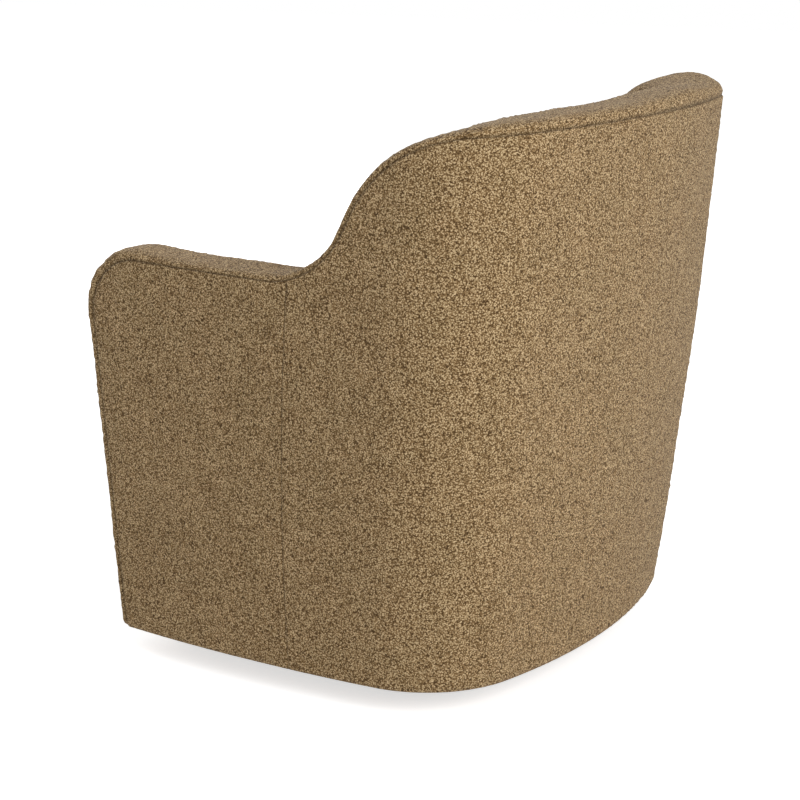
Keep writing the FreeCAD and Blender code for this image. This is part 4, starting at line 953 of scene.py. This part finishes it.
def cushion():
    """Boxed cushion, blown up by a short cloth simulation and then drawn in along its two seams."""
    outline_points = cushion_outline(0.004)
    middle = outline_points.mean(axis=0)
    base = DECK + 0.0006
    levels = [(0.030, 0.0), (0.008, 0.0015), (0.0, 0.010)]
    boxing = np.linspace(0.010, CUSHION_HEIGHT - 0.010, int(CUSHION_HEIGHT / CUSHION_STEP))[1:]
    levels += [(0.0, z) for z in boxing]
    bottom_seam, top_seam = 2, 2 + len(boxing)
    levels += [(0.008, CUSHION_HEIGHT - 0.002), (0.020, CUSHION_HEIGHT + 0.001)]
    reach = np.linalg.norm(outline_points - middle, axis=1).mean()
    insets = np.arange(0.020 + CUSHION_STEP, reach - CUSHION_STEP, CUSHION_STEP)
    for inset in insets:
        crown = CUSHION_CROWN * 0.6 * (1 - (1 - inset / reach) ** 2)
        levels.append((inset, CUSHION_HEIGHT + 0.001 + crown))
    low = [(inset, 0.0) for inset in insets[::-1] if inset > 0.034]
    bottom_seam, top_seam = bottom_seam + len(low), top_seam + len(low)
    levels = low + levels
    rings = [np.column_stack([middle + (outline_points - middle) * (1 - inset / reach),
                              np.full(len(outline_points), base + z)]) for inset, z in levels]
    count = len(outline_points)
    hubs = np.array([[*middle, base], [*middle, base + levels[-1][1]]])
    verts = np.concatenate([*rings, hubs])
    faces = grid_faces(len(rings), count, closed=True)
    hub_low, hub_high = len(verts) - 2, len(verts) - 1
    last = (len(rings) - 1) * count
    faces += [((c + 1) % count, c, hub_low) for c in range(count)]
    faces += [(last + c, last + (c + 1) % count, hub_high) for c in range(count)]
    piece = make_piece("seat_cushion_cover", "chair", FABRIC, "upholstery", verts, faces)
    seams = [range(row * count, (row + 1) * count) for row in (bottom_seam, top_seam)]
    puff(piece, pins=[v for seam in seams for v in seam], floor=base)
    draw_in_seams(piece, seams, middle)
    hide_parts("seat_cushion")


def puff(piece, pins, floor):
    """Swells a closed piece with Cloth under pressure, its seams held, and caps how far a point moves."""
    mesh = piece.data
    before = np.array([v.co for v in mesh.vertices])
    group = piece.vertex_groups.new(name="seams")
    group.add([int(k) for k in pins], 1.0, "ADD")
    resting = [k for k, spot in enumerate(before) if spot[2] < floor + 0.004]
    group.add(resting, 1.0, "ADD")
    cloth = piece.modifiers.new("Cloth", "CLOTH")
    cloth.settings.quality = 6
    cloth.settings.mass = 0.3
    cloth.settings.use_pressure = True
    cloth.settings.uniform_pressure_force = CUSHION_PRESSURE
    cloth.settings.tension_stiffness = 12
    cloth.settings.compression_stiffness = 12
    cloth.settings.bending_stiffness = 0.6
    cloth.settings.vertex_group_mass = "seams"
    cloth.settings.effector_weights.gravity = 0
    cloth.collision_settings.use_collision = False
    for step in range(1, CUSHION_FRAMES + 1):
        bpy.context.scene.frame_set(step)
    swollen = piece.evaluated_get(bpy.context.evaluated_depsgraph_get())
    after = np.array([v.co for v in swollen.data.vertices])
    move = after - before
    size = np.linalg.norm(move, axis=1, keepdims=True)
    move *= np.minimum(1, CUSHION_CAP / np.maximum(size, 1e-9))
    move[:, 2] = np.where(before[:, 2] < floor + 0.004, 0, move[:, 2])
    piece.modifiers.clear()
    bpy.context.scene.frame_set(1)
    mesh.vertices.foreach_set("co", (before + move).ravel())
    mesh.update()


def ease_middle(points, middle):
    """Takes out the pinch where the rings of a cushion's top meet, with the crown of the cloth round it."""
    radius = np.linalg.norm(points[:, :2] - middle, axis=1)
    top = points[:, 2] > DECK + CUSHION_HEIGHT / 2
    near, far = (points[top & (np.abs(radius - ring) < CUSHION_STEP), 2].mean() for ring in EASE_RINGS)
    fall = (near - far) / (EASE_RINGS[1] ** 2 - EASE_RINGS[0] ** 2)
    crown = near + fall * (EASE_RINGS[0] ** 2 - radius ** 2)
    share = np.clip(2 * (1 - radius / EASE_RINGS[0]), 0, 1) * top
    points[:, 2] += (crown - points[:, 2]) * share


def draw_in_seams(piece, seams, middle):
    """Pulls each seam's ring of points in, eases the middle of the top, and roughens the cloth."""
    mesh = piece.data
    points = np.array([v.co for v in mesh.vertices])
    away = points[:, :2] - middle
    radius = np.linalg.norm(away, axis=1, keepdims=True)
    inwards = np.zeros_like(points)
    inwards[:, :2] = -away / np.maximum(radius, CUSHION_STEP)
    for seam in seams:
        points[list(seam)] += inwards[list(seam)] * SEAM_DEPTH
    ease_middle(points, middle)
    rough = nubs(points, 71)[:, None] * np.clip(radius / HUB_REACH, 0, 1)
    points += np.array([v.normal for v in mesh.vertices]) * rough
    mesh.vertices.foreach_set("co", points.ravel())
    mesh.update()


# Deck pad, dust cover and webbing
def seat_room(z, y, inset):
    """Half width between the seat boards at a place."""
    return side_x(plan(z, True), y) + 0.030 - inset


def deck_pad():
    """Thin felt pad over the webbing, rounded at its edges."""
    low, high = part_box("deck_pad")
    rows = []
    ys = low[1] + places(high[1] - low[1], 0.006, 0.006, 0.012)
    for y in ys:
        half = min(seat_room(high[2], max(y, -0.3), 0.0), high[0]) - 0.004
        shares = places(1.0, 0.008, 0.008, 0.02)
        rows.append([(-half + 2 * half * share, y, 0.0) for share in shares])
    flat = np.array(rows)
    count, columns, _ = flat.shape
    flat = flat.reshape(-1, 3)
    border = np.array([flat[k] for k in grid_border(count, columns)])
    edge = distance_to(flat, even(np.concatenate([border, border[:1]]), 0.002))
    drop = roll_depth(edge, 0.006, 0.005)
    upper, lower = flat.copy(), flat.copy()
    upper[:, 2] = high[2] - drop - 0.0004 + ripple(flat, 81, 0.15, 0.0003)
    lower[:, 2] = low[2] + drop + 0.0004
    verts, faces = thick(upper, lower, grid_faces(count, columns), grid_border(count, columns))
    piece = make_piece("deck_pad_cover", "chair", DECK_CLOTH, "deck_cloth", verts, faces)
    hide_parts("deck_pad")


def dust_cover():
    """Black dust cloth stretched under the seat box, tucked round the four seat screws."""
    low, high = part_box("dust_cover")
    xs, ys = (np.linspace(low[k] + 0.002, high[k] - 0.002, int((high[k] - low[k]) / DUST_STEP))
              for k in (0, 1))
    z = (low[2] + high[2]) / 2
    flat = np.array([(x, y, z) for y in ys for x in xs])
    faces = grid_faces(len(ys), len(xs))
    screws = [(sx * SCREW_X, sy * SCREW_Y) for sx in (1, -1) for sy in (1, -1)]
    faces = [face for face in faces if all(np.hypot(*(flat[list(face)].mean(axis=0)[:2] - np.array(spot)))
                                           > SCREW_CLEAR for spot in screws)]
    upper, lower = flat + (0, 0, DUST_THICKNESS / 2), flat - (0, 0, DUST_THICKNESS / 2)
    edges = [pair for face in faces for pair in zip(face, face[1:] + face[:1])]
    known = set(edges)
    open_edges = [(a, b) for a, b in edges if (b, a) not in known]
    count = len(flat)
    verts = np.concatenate([upper, lower])
    both = faces + [tuple(count + k for k in reversed(face)) for face in faces]
    both += [(b, a, a + count, b + count) for a, b in open_edges]
    used = sorted({k for face in both for k in face})
    index = {old: new for new, old in enumerate(used)}
    both = [tuple(index[k] for k in face) for face in both]
    piece = make_piece("dust_cover_cloth", "chair", DUST_CLOTH, "dust_cloth", verts[used], both)
    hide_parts("dust_cover")


def strap(points, across, width, thickness):
    """Closed strap along points, with its width in one direction."""
    points, across = np.asarray(points), np.asarray(across, float)
    along = np.gradient(points, axis=0)
    up = np.cross(along, across)
    up /= np.linalg.norm(up, axis=1, keepdims=True)
    corners = [(-0.5, -0.5), (-0.5, 0.5), (0.5, 0.5), (0.5, -0.5)]
    rings = np.array([[point + across * width * a + way * thickness * b for a, b in corners]
                      for point, way in zip(points, up)])
    count = len(points)
    faces = grid_faces(count, 4, closed=True)
    faces += [(3, 2, 1, 0), tuple((count - 1) * 4 + k for k in range(4))]
    return rings.reshape(-1, 3), faces


def joined(parts):
    """Several point and face sets as one."""
    verts, faces, start = [], [], 0
    for points, sides in parts:
        verts.append(points)
        faces += [tuple(k + start for k in side) for side in sides]
        start += len(points)
    return np.concatenate(verts), faces


def seat_webbing():
    """Woven lattice of straps, over and under each other."""
    low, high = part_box("seat_webbing")
    middle = (low[1] + high[1]) / 2
    spots = [(k - 2) * WEB_PITCH for k in range(5)]
    level = SEAT_BOARD_TOP + WEB_THICKNESS
    thin = WEB_THICKNESS * 0.8
    parts = []
    for row, spot in enumerate(spots):
        y = middle + spot
        half = min(seat_room(level, y, 0.004), high[0] - 0.001)
        run = np.linspace(-half, half, 90)
        wave = np.cos(run / WEB_PITCH * math.pi + math.pi * row) * WEB_THICKNESS * 0.5
        parts.append(strap([(x, y, level + w) for x, w in zip(run, wave)], (0, 1, 0), WEB_WIDTH, thin))
        run = np.linspace(low[1] + 0.001, high[1] - 0.001, 90)
        wave = -np.cos((run - middle) / WEB_PITCH * math.pi + math.pi * row) * WEB_THICKNESS * 0.5
        line = [(spot, y_run, level + w) for y_run, w in zip(run, wave)]
        parts.append(strap(line, (1, 0, 0), WEB_WIDTH, thin))
    piece = make_piece("seat_webbing_straps", "chair", WEB_CLOTH, "webbing", *joined(parts))
    piece.data.polygons.foreach_set("use_smooth", [False] * len(piece.data.polygons))
    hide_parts("seat_webbing")


def back_webbing():
    """Four straps stretched round behind the inner back pad."""
    parts = []
    gap = PAD_DEPTH + 0.006
    for k in range(4):
        z = BACK_WEB_LEVEL + k * BACK_WEB_PITCH + WEB_WIDTH / 2
        half, way = outline(plan(z, True), REAR_POST_PLACE, np.linspace(0, 1, 50))
        half = half + way * gap
        loop = np.concatenate([half, half[::-1][1:] * (-1, 1)])
        parts.append(strap([(x, y, z) for x, y in loop], (0, 0, 1), WEB_WIDTH, WEB_THICKNESS * 0.8))
    piece = make_piece("back_webbing_straps", "chair", WEB_CLOTH, "webbing", *joined(parts))
    piece.data.polygons.foreach_set("use_smooth", [False] * len(piece.data.polygons))
    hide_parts("back_webbing")


# Coil springs
def coil_points(bottom, top):
    """Centre line of a spring with a closed turn at each end."""
    closed = 2 * WIRE_RADIUS + 0.0006
    turns = SPRING_TURNS + 2
    knots = np.array([0, 1, 1 + SPRING_TURNS, turns], float)
    heights = np.array([bottom, bottom + closed, top - closed, top])
    run = np.linspace(0, turns, turns * 32 + 1)
    rise = np.interp(run, knots, heights)
    kernel = np.ones(9) / 9
    rise = np.concatenate([rise[:4], np.convolve(rise, kernel, "valid"), rise[-4:]])
    angle = run * 2 * math.pi
    return np.stack([SPRING_RADIUS * np.cos(angle), SPRING_RADIUS * np.sin(angle), rise], 1)


def tube(line, radius, sides=14):
    """Closed round tube along a line, in a frame carried along it."""
    along = np.gradient(line, axis=0)
    along /= np.linalg.norm(along, axis=1, keepdims=True)
    up = np.array([0.0, 0.0, 1.0])
    side = np.cross(along, up)
    side /= np.linalg.norm(side, axis=1, keepdims=True)
    other = np.cross(along, side)
    angles = np.linspace(0, 2 * math.pi, sides, endpoint=False)
    rings = [line + radius * (math.cos(a) * side + math.sin(a) * other) for a in angles]
    verts = np.stack(rings, 1).reshape(-1, 3)
    count = len(line)
    faces = grid_faces(count, sides, closed=True)
    faces += [tuple(range(sides))[::-1], tuple((count - 1) * sides + k for k in range(sides))]
    return verts, faces


def coil_springs():
    """Four rocker springs that stretch between the swivel plate and the seat bars."""
    low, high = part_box("coil_springs")
    for k, (sx, sy) in enumerate(((1, 1), (1, -1), (-1, 1), (-1, -1))):
        line = coil_points(low[2] + WIRE_RADIUS, high[2] - WIRE_RADIUS)
        line += (sx * SPRING_X, sy * SPRING_Y, 0)
        verts, faces = tube(line, WIRE_RADIUS)
        mesh = bpy.data.meshes.new(f"rocker_spring_{k + 1}")
        mesh.from_pydata([tuple(v) for v in verts], [], faces)
        mesh.polygons.foreach_set("use_smooth", [True] * len(mesh.polygons))
        mesh.materials.append(BLACK_STEEL)
        spring = bpy.data.objects.new(f"rocker_spring_{k + 1}", mesh)
        bpy.context.scene.collection.objects.link(spring)
        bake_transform(spring)
        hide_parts("coil_springs")


cushion()
deck_pad()
dust_cover()
seat_webbing()
back_webbing()
coil_springs()


# Studio
def seen_directly(tree, plain, shown, output):
    """Sends one shader to the output, and another where the camera, a gloss or glass sees it."""
    path = tree.nodes.new("ShaderNodeLightPath")
    seen = math_node(tree, "MAXIMUM", path.outputs["Is Camera Ray"], path.outputs["Is Glossy Ray"])
    seen = math_node(tree, "MAXIMUM", seen, path.outputs["Is Transmission Ray"])
    choose = tree.nodes.new("ShaderNodeMixShader")
    for value, socket in zip((seen, plain, shown), choose.inputs):
        tree.links.new(value, socket)
    tree.links.new(choose.outputs["Shader"], tree.nodes[output].inputs["Surface"])


def studio_floor():
    """Plain floor that shows white to the camera and keeps the chair's shadow."""
    reach = FLOOR_REACH
    mesh = bpy.data.meshes.new("floor")
    corners = [(-reach, -reach, 0), (reach, -reach, 0), (reach, reach, 0), (-reach, reach, 0)]
    mesh.from_pydata(corners, [], [(0, 1, 2, 3)])
    floor = bpy.data.objects.new("floor", mesh)
    bpy.context.scene.collection.objects.link(floor)
    made, tree, shader, _ = material("floor", 1.0, 0.0)
    shader.inputs["Base Color"].default_value = (0.80, 0.80, 0.80, 1)
    white = tree.nodes.new("ShaderNodeBsdfDiffuse")
    white.inputs["Color"].default_value = (1, 1, 1, 1)
    glow = tree.nodes.new("ShaderNodeEmission")
    glow.inputs["Strength"].default_value = FLOOR_LIFT
    both = tree.nodes.new("ShaderNodeAddShader")
    tree.links.new(white.outputs["BSDF"], both.inputs[0])
    tree.links.new(glow.outputs["Emission"], both.inputs[1])
    seen_directly(tree, shader.outputs["BSDF"], both.outputs["Shader"], "Material Output")
    mesh.materials.append(made)


def studio_world():
    """Even light from all round, with plain white behind the chair."""
    world = bpy.data.worlds.new("studio")
    bpy.context.scene.world = world
    world.use_nodes = True
    tree = world.node_tree
    fill = tree.nodes["Background"]
    white = tree.nodes.new("ShaderNodeBackground")
    for light, strength in ((fill, FILL_LEVEL), (white, 1.0)):
        light.inputs["Color"].default_value = (1, 1, 1, 1)
        light.inputs["Strength"].default_value = strength
    seen_directly(tree, fill.outputs["Background"], white.outputs["Background"], "World Output")


def lamp(name, place, size, power):
    """Square soft lamp at a place, facing the chair."""
    light = bpy.data.lights.new(name, "AREA")
    light.shape, light.size, light.energy = "SQUARE", size, power
    holder = bpy.data.objects.new(name, light)
    bpy.context.scene.collection.objects.link(holder)
    holder.location = place
    holder.rotation_euler = (Vector(LAMP_TARGET) - Vector(place)).to_track_quat("-Z", "Y").to_euler()


def camera():
    """Camera at the photograph's viewing angle, framed for an image of 800 by 800."""
    data = bpy.data.cameras.new("camera")
    data.lens, data.sensor_width, data.sensor_fit = CAMERA_LENS, 36.0, "HORIZONTAL"
    holder = bpy.data.objects.new("camera", data)
    bpy.context.scene.collection.objects.link(holder)
    back = Vector(CAMERA_BACK).normalized()
    side = Vector((0, 0, 1)).cross(back).normalized()
    up = back.cross(side)
    turn = Matrix((side, up, back)).transposed().to_4x4()
    holder.matrix_world = Matrix.Translation(Vector(CAMERA_PLACE)) @ turn
    bpy.context.scene.camera = holder


studio_floor()
studio_world()
lamp("key", (1.6, 4.2, 2.9), 2.6, KEY_POWER)
lamp("front_fill", (-3.2, -3.8, 1.7), 3.0, FRONT_POWER)
lamp("side_fill", (4.4, -0.6, 2.4), 3.0, SIDE_POWER)
camera()
bpy.context.scene.view_settings.view_transform = "Standard"
